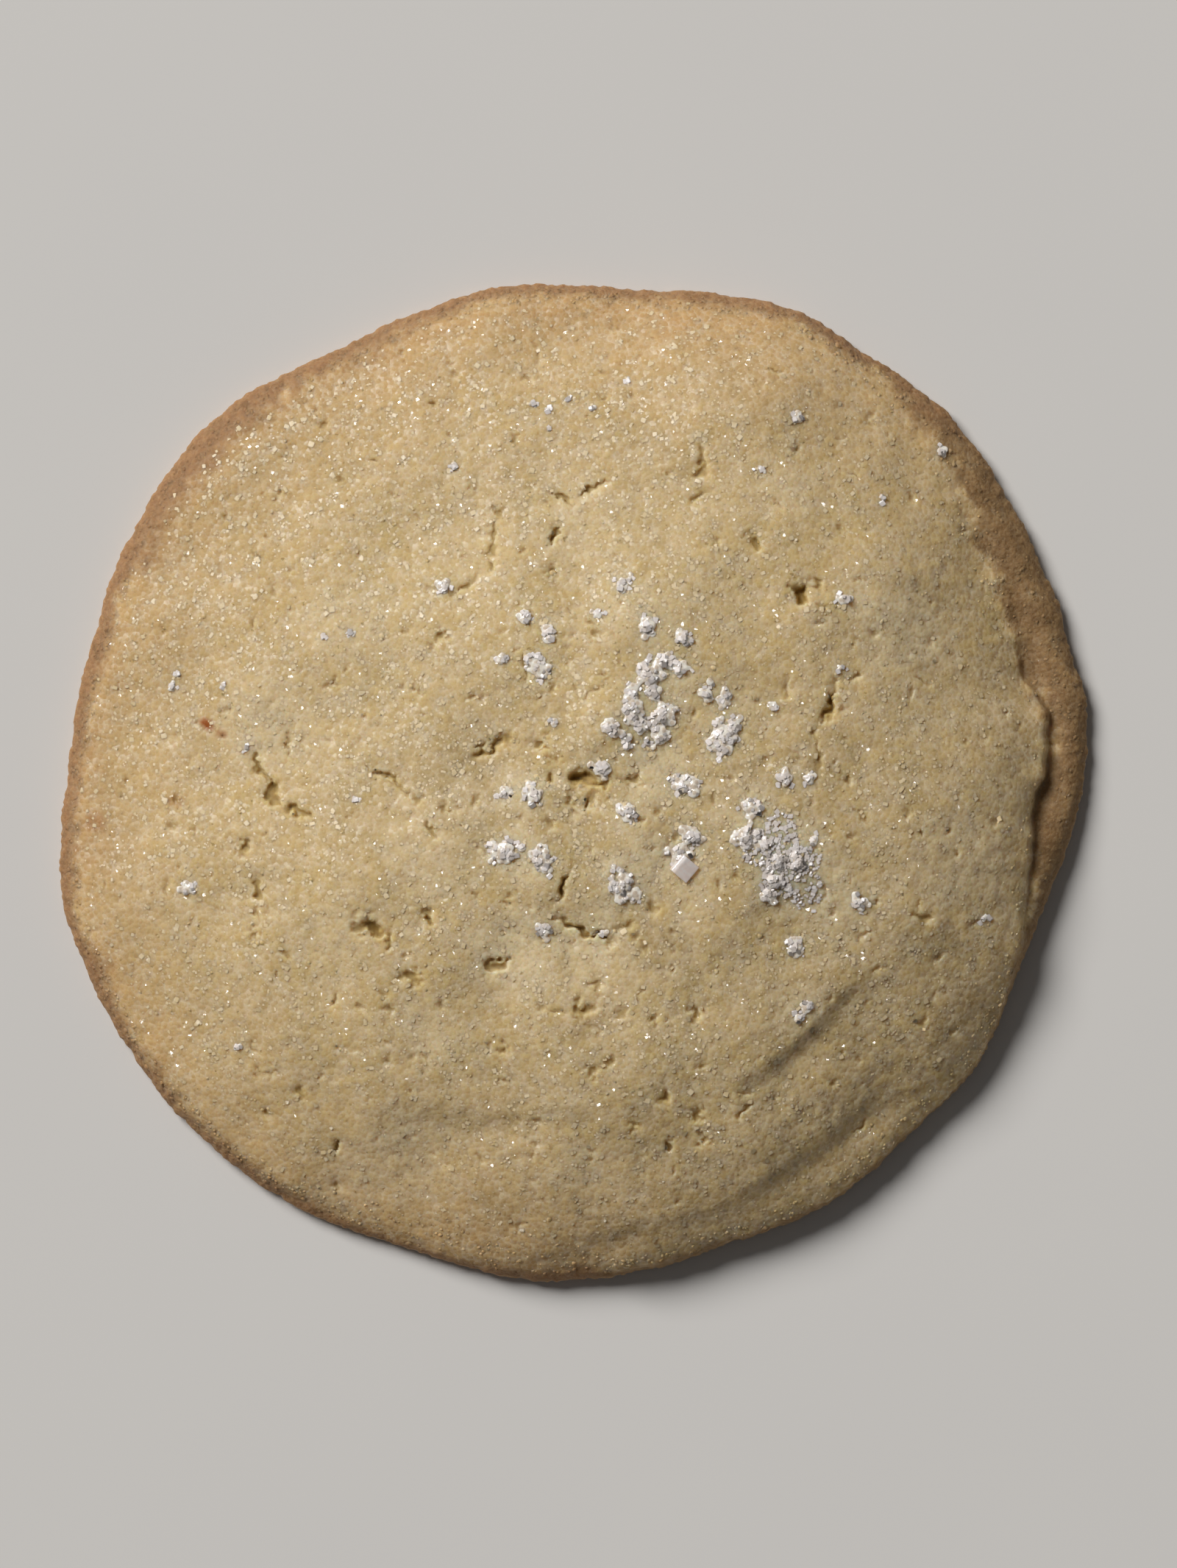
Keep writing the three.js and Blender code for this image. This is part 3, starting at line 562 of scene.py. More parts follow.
# Duller patches: partly a duller crust, partly painted shade, as along the dome's right edge.
DULL_AND_SHADE_PATCHES = [
    (12.5, 31.5, 11.0, 0.9), (7.0, 27.0, 9.0, 0.6), (4.5, 36.0, 6.0, 0.6), (33.5, 6.0, 11.0, 0.9),
    (25.5, 0.5, 8.0, 0.7), (-9.0, -0.5, 12.0, 1.0), (12.5, 0.0, 6.0, 0.9), (17.5, 1.5, 8.0, 0.9),
    (-18.0, -3.0, 9.0, 0.7), (30.0, -18.0, 7.0, 1.0), (18.5, -17.0, 8.0, 1.0), (-5.0, -25.0, 7.0, 0.7),
    (-8.0, -34.0, 8.0, 0.9),
    (3.0, -35.5, 8.0, 0.9), (12.0, -33.0, 6.0, 0.6), (36.0, 6.0, 5.0, 1.0), (-36.5, -6.0, 7.0, 0.9),
    (-30.0, 10.0, 9.0, 0.5), (-24.0, -17.0, 9.0, 0.5), (-6.0, 23.0, 6.0, 0.8), (-1.5, 5.5, 4.0, 0.7),
    (-19.0, 31.0, 8.0, 0.7), (6.0, 18.5, 6.0, 0.5), (1.0, -18.5, 5.0, 0.8), (24.0, -12.0, 5.0, 0.5),
    (6.5, -12.5, 4.0, 0.8), (-24.0, -6.5, 6.0, 0.5), (17.0, 30.0, 6.0, 0.7), (31.0, 4.0, 7.0, 0.7),
    (31.0, 21.0, 5.0, 0.8),
]
CARAMEL_SPOTS = [
    (-28.3, 4.4, 0.75, 1.0), (-27.3, 3.7, 0.5, 0.6), (-37.1, -3.1, 1.2, 0.35), (-30.9, -1.5, 0.8, 0.3),
]


def store(mesh, name, values):
    """Keeps one number for each vertex of a mesh under a name."""
    attribute = mesh.attributes.new(name, "FLOAT", "POINT")
    attribute.data.foreach_set("value", np.ascontiguousarray(values, dtype=np.float32))


def patches_at(x, y, patches, core):
    """How far each place lies in one of these patches with ragged borders, from 0 to 1."""
    found = np.zeros(len(x))
    ragged_x, ragged_y = x + noise(x, y, 2.0, 81), y + noise(x, y, 2.0, 82)
    for patch_x, patch_y, size, strength in patches:
        spread = np.hypot(ragged_x - patch_x, ragged_y - patch_y) / (0.5 * size)
        found = np.maximum(found, strength * (1 - smoothstep(spread, core, 1.3)))
    return found


def colour_by_place(mesh):
    """Stores how brown, golden, hollow, frosted and caramelised the crust is at each vertex, and where
    it is duller. The frosted patches also carry painted light, and the duller ones painted shade.
    """
    points = get_points(mesh) / MM
    x, y = points[:, 0] + MIDDLE[0], points[:, 1] + MIDDLE[1]
    degrees = np.degrees(np.arctan2(y, x))
    margin = around(RIM, degrees) - np.hypot(x, y)
    normals = np.empty(3 * len(x), dtype=np.float32)
    mesh.vertex_normals.foreach_get("vector", normals)
    underneath = smoothstep(-normals[2::3], 0.2, 0.8) * (points[:, 2] < 2.0)
    uneven = 0.4 * noise(x, y, 3.5, 71) + 0.3 * noise(x, y, 0.9, 72) + 0.2 * noise(x, y, 0.4, 77)
    brown = 1 - smoothstep(margin / (around(BROWN_MARGIN, degrees) * (1 + uneven)), 0.0, 1.4)
    foot = around(BAND_WIDTH, degrees)
    into_dome = inside_dome(degrees, np.hypot(x, y)) + 0.8 * noise(x, y, 1.3, 75) + 0.5 * noise(x, y, 0.5, 76)
    on_foot = (1 - smoothstep(into_dome, -1.0, 1.6)) * smoothstep(foot, 0.6, 2.4)
    brown = np.maximum(brown, on_foot * (0.9 + 0.25 * noise(x, y, 1.6, 74)))
    brown = np.maximum(brown, underneath * (0.75 + 0.2 * noise(x, y, 5.0, 73)))
    golden = around(GOLDEN_EDGE, degrees) * np.exp(-np.maximum(0, margin) / GOLDEN_FADE) * (1 + 0.4 * uneven)
    frost_and_light = patches_at(x, y, FROST_AND_LIGHT_PATCHES, 0.5)
    dull_and_shade = patches_at(x, y, DULL_AND_SHADE_PATCHES, 0.0)
    caramel = np.zeros(len(x))
    for spot_x, spot_y, size, strength in CARAMEL_SPOTS:
        spread = np.hypot(x - spot_x + 0.4 * noise(x, y, 0.8, 91), 1.2 * (y - spot_y)) / size
        caramel = np.maximum(caramel, strength * (1 - smoothstep(spread, 0.4, 1.1)))
    store(mesh, "brown", brown)
    store(mesh, "golden", golden)
    store(mesh, "hollow", on_map(hollow_map, x, y) * (1 - underneath))
    store(mesh, "frost_and_light", frost_and_light * (1 - underneath))
    store(mesh, "dull_and_shade", dull_and_shade * (1 - underneath))
    store(mesh, "caramel", caramel * (1 - underneath))
    return brown


brown_share = colour_by_place(body.data)
print("browned share of the vertices:", round(float((brown_share > 0.5).mean()), 3))

# %% [markdown]
# ## Shader sums in plain Python
#
# A material is a graph of nodes, and a graph made of many small Math nodes is hard to read in
# code. This class wraps a node's output so that Python's own operators add the Math nodes, and
# one method adds a node of any other kind with its settings and its sockets.

# %% A node's output that works in sums
class Value:
    """An output of a node, for use in Python expressions and as an input of other nodes."""

    def __init__(self, tree, socket):
        self.tree, self.socket = tree, socket

    def node(self, kind, settings, inputs, output=0):
        """Adds a node: its settings first, then the values or links of its sockets."""
        made = self.tree.nodes.new(kind)
        for name, setting in settings.items():
            setattr(made, name, setting)
        for name, value in inputs.items():
            if isinstance(value, Value):
                self.tree.links.new(value.socket, made.inputs[name])
            else:
                made.inputs[name].default_value = value
        return Value(self.tree, made.outputs[output]) if made.outputs else None

    def beside(self, name):
        """Another output of the same node."""
        return Value(self.tree, self.socket.node.outputs[name])

    def math(self, operation, first, second=0.0):
        return self.node("ShaderNodeMath", {"operation": operation}, {0: first, 1: second})

    def mix(self, low, high):
        """The colour low where this value is 0, and high where it is 1."""
        settings = {"data_type": "RGBA", "clamp_factor": True}
        return self.node("ShaderNodeMix", settings, {0: self, 6: low, 7: high}, output=2)

    def rise(self, start, end):
        """0 below start, 1 above end, and a soft rise between them."""
        settings = {"interpolation_type": "SMOOTHSTEP"}
        return self.node("ShaderNodeMapRange", settings, {"Value": self, "From Min": start, "From Max": end})

    def __add__(self, other):
        return self.math("ADD", self, other)

    def __sub__(self, other):
        return self.math("SUBTRACT", self, other)

    def __rsub__(self, other):
        return self.math("SUBTRACT", other, self)

    def __mul__(self, other):
        return self.math("MULTIPLY", self, other)

    __radd__, __rmul__ = __add__, __mul__


def new_material(name):
    """A material with an empty graph, and its Object coordinates in millimetres."""
    material = bpy.data.materials.new(name)
    material.use_nodes = True
    material.node_tree.nodes.clear()
    start = Value(material.node_tree, None)
    place = start.node("ShaderNodeTexCoord", {}, {}, output="Object")
    return material, start.node("ShaderNodeVectorMath", {"operation": "SCALE"}, {0: place, "Scale": 1 / MM})


def colour(red, green, blue):
    """A colour from its sRGB values of 0 to 255."""
    shares = [value / 255 for value in (red, green, blue)]
    linear = [share / 12.92 if share <= 0.04 else ((share + 0.055) / 1.055) ** 2.4 for share in shares]
    return (*linear, 1.0)


print("the grey that looks half as bright as white:", round(colour(128, 128, 128)[0], 3))

# %% [markdown]
# ## Baked crumb
#
# The crust is matt, pale butter yellow, and slightly translucent: light goes a millimetre or two
# into it and comes out warmer, which is why crumb never looks like plaster. Subsurface scattering
# gives that glow. Over the base colour lie yellower, paler and duller patches of a few millimetres,
# a fine grain, ochre pores and the deep yellow of the hollows, both darkened with painted shade,
# the frosting of the sugar, partly painted light, and the browned rim. The duller patches are
# partly painted shade.
#
# The crust is packed with grains of a third of a millimetre, too many to model. A Voronoi texture
# splits the surface into cells of that size, and in the bump each cell is round and tilted its own
# way. Sugar that melted into the crust left still finer facets. They are a second layer of cells,
# which mirror the lamp where one of them happens to face it.

# %% The crumb material
BUTTER = colour(225, 197, 142)
DEEP_BUTTER = colour(220, 191, 131)
SUGARED = colour(227, 202, 159)
DULL_AND_SHADE_BUTTER = colour(199, 171, 119)
HOLLOW_OCHRE_AND_SHADE = colour(184, 150, 80)
DEEP_HOLLOW_AND_SHADE = colour(156, 120, 50)
FROSTED_AND_LIT = colour(250, 227, 182)
GOLDEN = colour(211, 170, 114)
RIM_BROWN = colour(166, 124, 84)
FOOT_BROWN = colour(156, 122, 80)
DARK_CRUMB = colour(124, 92, 56)
CARAMEL = colour(176, 96, 30)
PALE_GRAIN = colour(246, 228, 196)
PORE_OCHRE_AND_SHADE = colour(156, 128, 72)
GRAIN_CELL = 0.32
SPARKLE_CELL = 0.2
SPARKLE_TILT = 1.7
SPARKLE_CLUSTER = 1.6
CRUST_SPARKLE_SHARE, CRUST_SPARKLE_STRENGTH = 0.34, 0.075


def noise_of(place, cell, detail=2.0):
    """Blender's own noise with features of this many mm."""
    inputs = {"Vector": place, "Scale": 1 / cell, "Detail": detail, "Roughness": 0.55}
    return place.node("ShaderNodeTexNoise", {"noise_dimensions": "3D"}, inputs)


def attribute_of(value, name):
    """A number stored on the mesh."""
    return value.node("ShaderNodeAttribute", {"attribute_name": name}, {}, output="Fac")


def vector_sum(operation, inputs, output=0):
    """A Vector Math node with this operation. The first input is a link."""
    return inputs[0].node("ShaderNodeVectorMath", {"operation": operation}, inputs, output)


def bump_of(place, height):
    """The surface's normal, bumped by a height in mm."""
    bumped = {"Height": height, "Strength": 1.0, "Distance": MM}
    return place.node("ShaderNodeBump", {}, bumped, output="Normal")


def facets_of(place, cell):
    """Packed grains: how far from its grain's centre a place is, the height of a facet that is
    tilted its own way in each grain, and a random number for each grain."""
    cells = {"Vector": place, "Scale": 1 / cell, "Randomness": 1.0}
    apart = place.node("ShaderNodeTexVoronoi", {"feature": "F1"}, cells, output="Distance")
    centre_mm = vector_sum("SCALE", {0: apart.beside("Position"), "Scale": cell})
    offset = vector_sum("SUBTRACT", {0: place, 1: centre_mm})
    tilt = vector_sum("SUBTRACT", {0: apart.beside("Color"), 1: (0.5, 0.5, 0.5)})
    height = vector_sum("DOT_PRODUCT", {0: offset, 1: tilt}, output="Value")
    draw = place.node("ShaderNodeSeparateColor", {}, {"Color": apart.beside("Color")}, output="Blue")
    return apart, height, draw


def with_sparkles(place, surface, share, strength):
    """The surface, with tiny clear facets of sugar in a share of its cells, each tilted its own
    way. Those that face the lamp flash."""
    _, facet_height, draw = facets_of(place, SPARKLE_CELL)
    facet = place.node("ShaderNodeBsdfPrincipled", {}, {
        "Base Color": (1.0, 1.0, 1.0, 1.0),
        "Metallic": 1.0,
        "Roughness": 0.12,
        "Normal": bump_of(place, SPARKLE_TILT * facet_height),
    }, output="BSDF")
    clusters = noise_of(place, SPARKLE_CLUSTER).rise(0.42, 0.62)
    flash = (draw + share * clusters).rise(1.0, 1.05) * strength
    return place.node("ShaderNodeMixShader", {}, {0: flash, 1: surface, 2: facet})


def crumb_material(name, glow, scatter_depth):
    """Baked crumb, with this share of its light going this many mm under the surface."""
    crumb, place = new_material(name)
    patches = noise_of(place, 4.5).rise(0.35, 0.65)
    sugared = noise_of(place, 1.3, 4.0).rise(0.42, 0.6)
    grain = noise_of(place, 0.3, 3.0)
    pores = noise_of(place, 0.5).rise(0.69, 0.75)
    apart, facet_height, draw = facets_of(place, GRAIN_CELL)
    brown = attribute_of(place, "brown")
    golden = attribute_of(place, "golden")
    hollow = attribute_of(place, "hollow")
    frost_and_light = attribute_of(place, "frost_and_light")

    tone = patches.mix(BUTTER, DEEP_BUTTER)
    # Duller patches: partly a duller crust, partly painted shade.
    tone = attribute_of(place, "dull_and_shade").mix(tone, DULL_AND_SHADE_BUTTER)
    tone = (sugared * 0.5).mix(tone, SUGARED)
    # Frosted patches: a paler sugared crust, partly painted light over shaded folds and cracks.
    tone = (frost_and_light * (0.4 + 0.6 * grain)).mix(tone, FROSTED_AND_LIT)
    tone = golden.mix(tone, GOLDEN)
    tone = (brown.rise(0.0, 0.8) * 0.8).mix(tone, GOLDEN)
    tone = (draw.rise(0.55, 0.95) * 0.25).mix(tone, PALE_GRAIN)
    tone = (apart.rise(0.45, 0.7) * (0.12 + 0.2 * sugared)).mix(tone, PALE_GRAIN)
    edge = golden.rise(0.4, 0.9).mix(FOOT_BROWN, RIM_BROWN)
    edge = (noise_of(place, 0.8, 4.0).rise(0.45, 0.7) * 0.5).mix(edge, DARK_CRUMB)
    tone = (brown.rise(0.2, 1.0) * (0.55 + 0.8 * grain)).mix(tone, edge)
    tone = attribute_of(place, "caramel").mix(tone, CARAMEL)
    # Pores: ochre crumb darkened with painted shade, as in a tiny hole.
    tone = (pores * 0.55).mix(tone, PORE_OCHRE_AND_SHADE)
    # Hollows: the deeper yellow of moist crumb, with painted shade that darkens them as they deepen.
    tone = (hollow.rise(0.03, 0.3) * 0.7).mix(tone, HOLLOW_OCHRE_AND_SHADE)
    tone = (hollow.rise(0.3, 0.8) * 0.9).mix(tone, DEEP_HOLLOW_AND_SHADE)

    relief = 0.02 * grain - 0.045 * apart + 0.2 * facet_height - 0.03 * pores + brown * 0.1 * grain
    glossy = draw.rise(0.78, 0.86) * (1 - brown)
    shader = place.node("ShaderNodeBsdfPrincipled", {"subsurface_method": "RANDOM_WALK"}, {
        "Base Color": tone,
        "Roughness": 0.72 - 0.3 * glossy,
        "Normal": bump_of(place, relief),
        "IOR": 1.45,
        "Subsurface Weight": glow,
        "Subsurface Radius": (1.0, 0.78, 0.5),
        "Subsurface Scale": scatter_depth * MM,
    }, output="BSDF")
    sparkling = with_sparkles(place, shader, CRUST_SPARKLE_SHARE * (1 - brown), CRUST_SPARKLE_STRENGTH)
    sparkling.node("ShaderNodeOutputMaterial", {}, {"Surface": sparkling})
    return crumb


body.data.materials.append(crumb_material("baked_crumb", 0.9, 1.2))
print("nodes in the crumb material:", len(body.data.materials[0].node_tree.nodes))

# %% [markdown]
# ## One of each kind
#
# Granulated sugar is a heap of tiny blocks with worn edges. One is modelled by hand: a cube whose
# edges are bevelled once. It is the mould for all the others, so it keeps to a few dozen faces.
# The finest specks of sugar show too little of themselves for a bevel, so a plain cube does. A
# crumb and a melted knob of sugar are rounded, so their moulds are small icospheres.

# %% Model the moulds
WORN_EDGE = 0.14


def take_mould():
    """The points and triangles of the object at hand, which is deleted."""
    bpy.ops.object.mode_set(mode="EDIT")
    bpy.ops.mesh.select_all(action="SELECT")
    bpy.ops.mesh.quads_convert_to_tris()
    bpy.ops.object.mode_set(mode="OBJECT")
    mesh = bpy.context.object.data
    taken = get_points(mesh), np.array([tuple(face.vertices) for face in mesh.polygons])
    bpy.ops.object.delete()
    return taken


bpy.ops.mesh.primitive_cube_add(size=1.0, location=(0, 0, 0))
bpy.ops.object.mode_set(mode="EDIT")
bpy.ops.mesh.bevel(offset=WORN_EDGE, segments=1, affect="EDGES")
bpy.ops.object.mode_set(mode="OBJECT")
CRYSTAL_MOULD = take_mould()
bpy.ops.mesh.primitive_cube_add(size=1.0, location=(0, 0, 0))
SPECK_MOULD = take_mould()
bpy.ops.mesh.primitive_ico_sphere_add(subdivisions=1, radius=0.5, location=(0, 0, 0))
CRUMB_MOULD = take_mould()
bpy.ops.mesh.primitive_ico_sphere_add(subdivisions=2, radius=0.5, location=(0, 0, 0))
KNOB_MOULD = take_mould()
moulds = (CRYSTAL_MOULD, SPECK_MOULD, CRUMB_MOULD, KNOB_MOULD)
print("faces of the moulds:", [len(faces) for _, faces in moulds])

# %% [markdown]
# ## Scattering crystals
#
# Thousands of crystals as separate objects would slow everything down, so all crystals of a kind
# share one mesh: the mould's points are turned, sized and moved for each of them in one array
# sum. To lie on the real crust, each asks for the point straight below it with a ray, which also
# gives the slope of the crust there.

# %% Join copies of the crystal into one mesh
DOWN = Vector((0, 0, -1))
ABOVE = 0.05


def search_tree(*meshes):
    """A tree of the triangles of these meshes, which a ray can be sent into."""
    points, triangles, start = [], [], 0
    for mesh in meshes:
        mesh.calc_loop_triangles()
        corners = np.empty(3 * len(mesh.loop_triangles), dtype=np.int32)
        mesh.loop_triangles.foreach_get("vertices", corners)
        points += get_points(mesh).tolist()
        triangles += (corners.reshape(-1, 3) + start).tolist()
        start = len(points)
    return BVHTree.FromPolygons(points, triangles)


def below(tree, x, y):
    """The first points in mm straight below these places, and the slopes' normals."""
    starts = [Vector(((px - MIDDLE[0]) * MM, (py - MIDDLE[1]) * MM, ABOVE)) for px, py in zip(x, y)]
    hits = [tree.ray_cast(start, DOWN) for start in starts]
    return np.array([hit[0] for hit in hits]) / MM, np.array([hit[1] for hit in hits])


crust_tree = search_tree(body.data)


def random_turns(count, lean):
    """Turning matrices: any heading, and a lean away from upright of up to this many radians."""
    heading = dice.uniform(0, 2 * math.pi, count)
    lean_x, lean_y = dice.uniform(-lean, lean, (2, count))
    zero, one = np.zeros(count), np.ones(count)

    def matrix(*rows):
        return np.moveaxis(np.array(rows), -1, 0)

    turn_z = matrix([np.cos(heading), -np.sin(heading), zero], [np.sin(heading), np.cos(heading), zero],
                    [zero, zero, one])
    turn_x = matrix([one, zero, zero], [zero, np.cos(lean_x), -np.sin(lean_x)],
                    [zero, np.sin(lean_x), np.cos(lean_x)])
    turn_y = matrix([np.cos(lean_y), zero, np.sin(lean_y)], [zero, one, zero],
                    [-np.sin(lean_y), zero, np.cos(lean_y)])
    return turn_x @ turn_y @ turn_z


def join_copies(name, mould, centres, sizes, turns, lies):
    """One mesh of copies of a mould at these centres in mm, with these sizes and turns. Each copy
    keeps the normal of the crust that it lies on."""
    points, triangles = mould
    copies = np.einsum("nij,nvj->nvi", turns, points[None] * sizes[:, None]) + centres[:, None]
    count, corners = len(centres), len(points)
    faces = (triangles[None] + corners * np.arange(count)[:, None, None]).reshape(-1, 3)
    mesh = bpy.data.meshes.new(name)
    mesh.vertices.add(count * corners)
    mesh.loops.add(faces.size)
    mesh.polygons.add(len(faces))
    mesh.polygons.foreach_set("loop_start", np.arange(0, faces.size, 3, dtype=np.int32))
    mesh.loops.foreach_set("vertex_index", faces.ravel().astype(np.int32))
    set_points(mesh, MM * copies.reshape(-1, 3))
    mesh.update(calc_edges=True)
    mesh.shade_flat()
    lie = mesh.attributes.new("lie", "FLOAT_VECTOR", "POINT")
    lie.data.foreach_set("vector", np.repeat(lies, corners, axis=0).ravel().astype(np.float32))
    made = bpy.data.objects.new(name, mesh)
    bpy.context.collection.objects.link(made)
    print(name + ":", count, "copies,", len(faces), "faces")
    return made


# %% [markdown]
# ## Crumbs and single grains
#
# Before baking, the ball of dough was rolled in sugar. Single grains lie all over the crust,
# sunk in it, from specks of a tenth of a millimetre to crystals of half a millimetre. Between
# them sit small rounded crumbs of the crust itself. All of them keep clear of the open cracks, and
# the sugar also of the browned band, which ran out from under it. More crumbs stand along the rim
# and on that band, where the dough dried first.

# %% Scatter crumbs and grains
GRAIN_COUNT, GRAIN_EDGES, GRAIN_SHOWING, GRAIN_LEAN = 2600, (0.24, 0.46), 0.09, 0.28
SPECK_COUNT, SPECK_EDGES, SPECK_SHOWING, SPECK_LEAN = 9000, (0.12, 0.28), 0.03, 0.15
CRUMB_COUNT, CRUMB_EDGES, CRUMB_SHOWING, CRUMB_LEAN = 6000, (0.4, 0.95), 0.06, 0.5
RIM_CRUMB_COUNT, RIM_CRUMB_BAND, RIM_CRUMB_SHOWING = 2400, (0.45, 1.6), 0.09


def crust_places(count, sugared, patchiness, seed):
    """Places for single grains, thinner where there is no sugar."""
    x, y = scatter(3 * count, reach=0.985)
    degrees = np.degrees(np.arctan2(y, x))
    bare = np.maximum(0, around(BAND_WIDTH, degrees)) + 0.9
    covered = smoothstep(around(RIM, degrees) - np.hypot(x, y), bare, bare + 2.5) if sugared else 1.0
    wanted = covered * (1 + patchiness * noise(x, y, 3.0, seed)) * (on_map(hollow_map, x, y) < 0.08)
    kept = np.flatnonzero(dice.uniform(0, 1 + patchiness, len(x)) < wanted)[:count]
    return x[kept], y[kept]


def lay_grains(name, mould, places, edges, showing, lean):
    """One mesh of single grains, sunk so deep that they show by up to this many mm."""
    centres, normals = below(crust_tree, *places)
    count = len(centres)
    smallest, largest = edges
    edge = smallest + (largest - smallest) * dice.random(count) ** 1.8
    sizes = edge[:, None] * dice.uniform(0.65, 1.1, (count, 3))
    shown = showing * dice.uniform(0.2, 1.0, count)
    centres = centres + normals * (shown[:, None] - 0.5 * sizes[:, 2:])
    return join_copies(name, mould, centres, sizes, random_turns(count, lean), normals)


def rim_places(count):
    """Places along the rim and on the band outside the dome."""
    angle = dice.uniform(0, 2 * math.pi, count)
    degrees = np.degrees(angle)
    nearest, farthest = RIM_CRUMB_BAND
    margin = nearest + (farthest - nearest + np.maximum(0, around(BAND_WIDTH, degrees))) * dice.random(count)
    radius = around(RIM, degrees) - margin
    return radius * np.cos(angle), radius * np.sin(angle)


grain_places = crust_places(GRAIN_COUNT, True, 0.6, 201)
grains = lay_grains("sugar_grains", CRYSTAL_MOULD, grain_places, GRAIN_EDGES, GRAIN_SHOWING, GRAIN_LEAN)
speck_places = crust_places(SPECK_COUNT, True, 0.35, 202)
specks = lay_grains("sugar_specks", SPECK_MOULD, speck_places, SPECK_EDGES, SPECK_SHOWING, SPECK_LEAN)
crumb_places = np.hstack([crust_places(CRUMB_COUNT, False, 0.3, 203), rim_places(RIM_CRUMB_COUNT)])
on_rim = np.arange(crumb_places.shape[1]) >= crumb_places.shape[1] - RIM_CRUMB_COUNT
crumb_showing = np.where(on_rim, RIM_CRUMB_SHOWING, CRUMB_SHOWING)
crumbs = lay_grains("crust_crumbs", CRUMB_MOULD, crumb_places, CRUMB_EDGES, crumb_showing, CRUMB_LEAN)
crumbs.data.shade_smooth()
crumbs.data.materials.append(crumb_material("crust_grain", 0.5, 0.15))
colour_by_place(crumbs.data)

# %% [markdown]
# ## Lumps of sugar
#
# Some of the sugar stuck together before it reached the dough, and the oven's steam fused it. Each
# of these lumps is a low white mass of rounded knobs, most of them just right of the middle. Balls
# that sink into one another give the knobs, and a voxel Remesh melts them into one closed skin,
# which separate balls would never have. A Smooth modifier takes the voxels' steps out of it.

# %% Fuse the white masses of the lumps
LUMPS = [
    (5.6, 8.1, 2.6), (6.9, 9.2, 1.6), (7.9, 8.7, 1.5), (6.0, 6.9, 1.3), (4.4, 5.5, 2.1), (6.7, 5.0, 2.2),
    (6.3, 3.3, 1.9), (2.8, 4.1, 1.5), (3.9, 3.1, 1.1), (11.4, 3.5, 2.7), (8.4, -0.3, 2.1), (2.0, 0.9, 1.6),
    (-2.9, 8.9, 2.0), (-2.1, 11.3, 1.3), (-3.9, 12.6, 1.2), (-5.7, 9.4, 1.0), (5.5, 11.8, 1.6),
    (1.6, 12.9, 1.0), (-3.2, -1.1, 1.7), (-5.4, -0.9, 1.2), (-1.7, 4.6, 0.9), (-5.5, -5.4, 2.4),
    (-2.5, -6.0, 2.0), (3.9, -2.3, 1.7), (3.6, -8.0, 2.6), (8.0, -5.6, 1.8), (8.9, -4.2, 1.7),
    (-2.4, -11.4, 1.4), (2.0, -11.6, 0.9), (10.0, 6.7, 1.1), (11.4, 6.3, 1.4), (10.3, 7.6, 0.8),
    (8.2, 11.0, 1.6), (13.5, -2.0, 1.7), (13.0, -4.2, 2.0), (16.0, 0.3, 1.6), (17.9, 0.2, 1.1),
    (21.9, -9.3, 1.4), (20.3, 8.6, 0.8), (15.2, 5.8, 0.9), (31.5, -10.6, 0.8), (16.9, -12.6, 1.6),
    (3.5, 15.1, 1.2), (4.2, 15.6, 0.8), (-10.1, 14.9, 1.4), (-3.4, 29.1, 0.8), (1.2, 28.8, 0.8),
    (-0.6, 29.4, 0.6), (-2.1, 28.7, 0.6), (4.0, 30.9, 0.6), (-9.4, 24.2, 0.9), (-2.1, 27.1, 0.5),
    (-29.9, -8.2, 1.2), (-26.0, -20.5, 0.8), (-31.2, 7.3, 0.9), (-30.7, 8.3, 0.6), (-27.2, 7.3, 0.6),
    (-17.3, 11.4, 0.7), (17.2, 27.9, 1.1), (23.7, 21.8, 0.7), (20.6, 14.0, 1.2), (14.2, 24.0, 0.8),
    (28.3, 25.6, 1.0), (17.7, -17.3, 1.2), (17.2, -18.1, 1.0), (-19.4, 11.2, 0.5), (-16.8, -1.4, 0.6),
    (-25.4, 2.5, 0.6), (14.4, -5.0, 1.4), (15.6, -6.2, 1.3), (17.0, -6.2, 1.2), (15.2, -7.6, 1.3),
    (14.8, -8.8, 1.4), (18.2, -4.6, 0.9), (12.2, 4.3, 1.3), (10.5, 2.8, 1.2), (5.0, 4.3, 1.3),
    (4.3, 6.8, 1.2),
]
LARGEST_KNOB, KNOB_SHARE, KNOB_FLATNESS = 0.62, 0.55, 0.6
KNOB_LIFT, KNOB_SINK, KNOB_LEAN = 0.24, 0.03, 0.3
KNOBS_PER_AREA = 8.5
LUMP_VOXEL = 0.09


def in_lump(lump_x, lump_y, size, count):
    """Places inside a lump's ragged outline, and how far inside it each is, from 0 to 1."""
    angle = dice.uniform(0, 2 * math.pi, count)
    ragged = 1 + 0.3 * np.sin(2 * angle + lump_x) + 0.2 * np.sin(5 * angle + lump_y)
    reach = dice.uniform(0, 1, count) ** 0.6
    radius = 0.5 * size * ragged * reach
    return lump_x + radius * np.cos(angle), lump_y + radius * np.sin(angle), 1 - reach


def knobs_of(lump_x, lump_y, size):
    """Centres, sizes, turns and normals of the knobs of one lump."""
    knob = min(LARGEST_KNOB, KNOB_SHARE * size)
    x, y, inside = in_lump(lump_x, lump_y, size - 0.45 * knob, max(4, int(KNOBS_PER_AREA * size ** 2)))
    centres, normals = below(crust_tree, x, y)
    across = knob * dice.uniform(0.65, 1.15, len(x))
    centres[:, 2] += KNOB_LIFT * inside * min(1.0, size / 2) - KNOB_SINK
    sizes = across[:, None] * np.array([1, 1, KNOB_FLATNESS])
    return centres, sizes, random_turns(len(x), KNOB_LEAN), normals


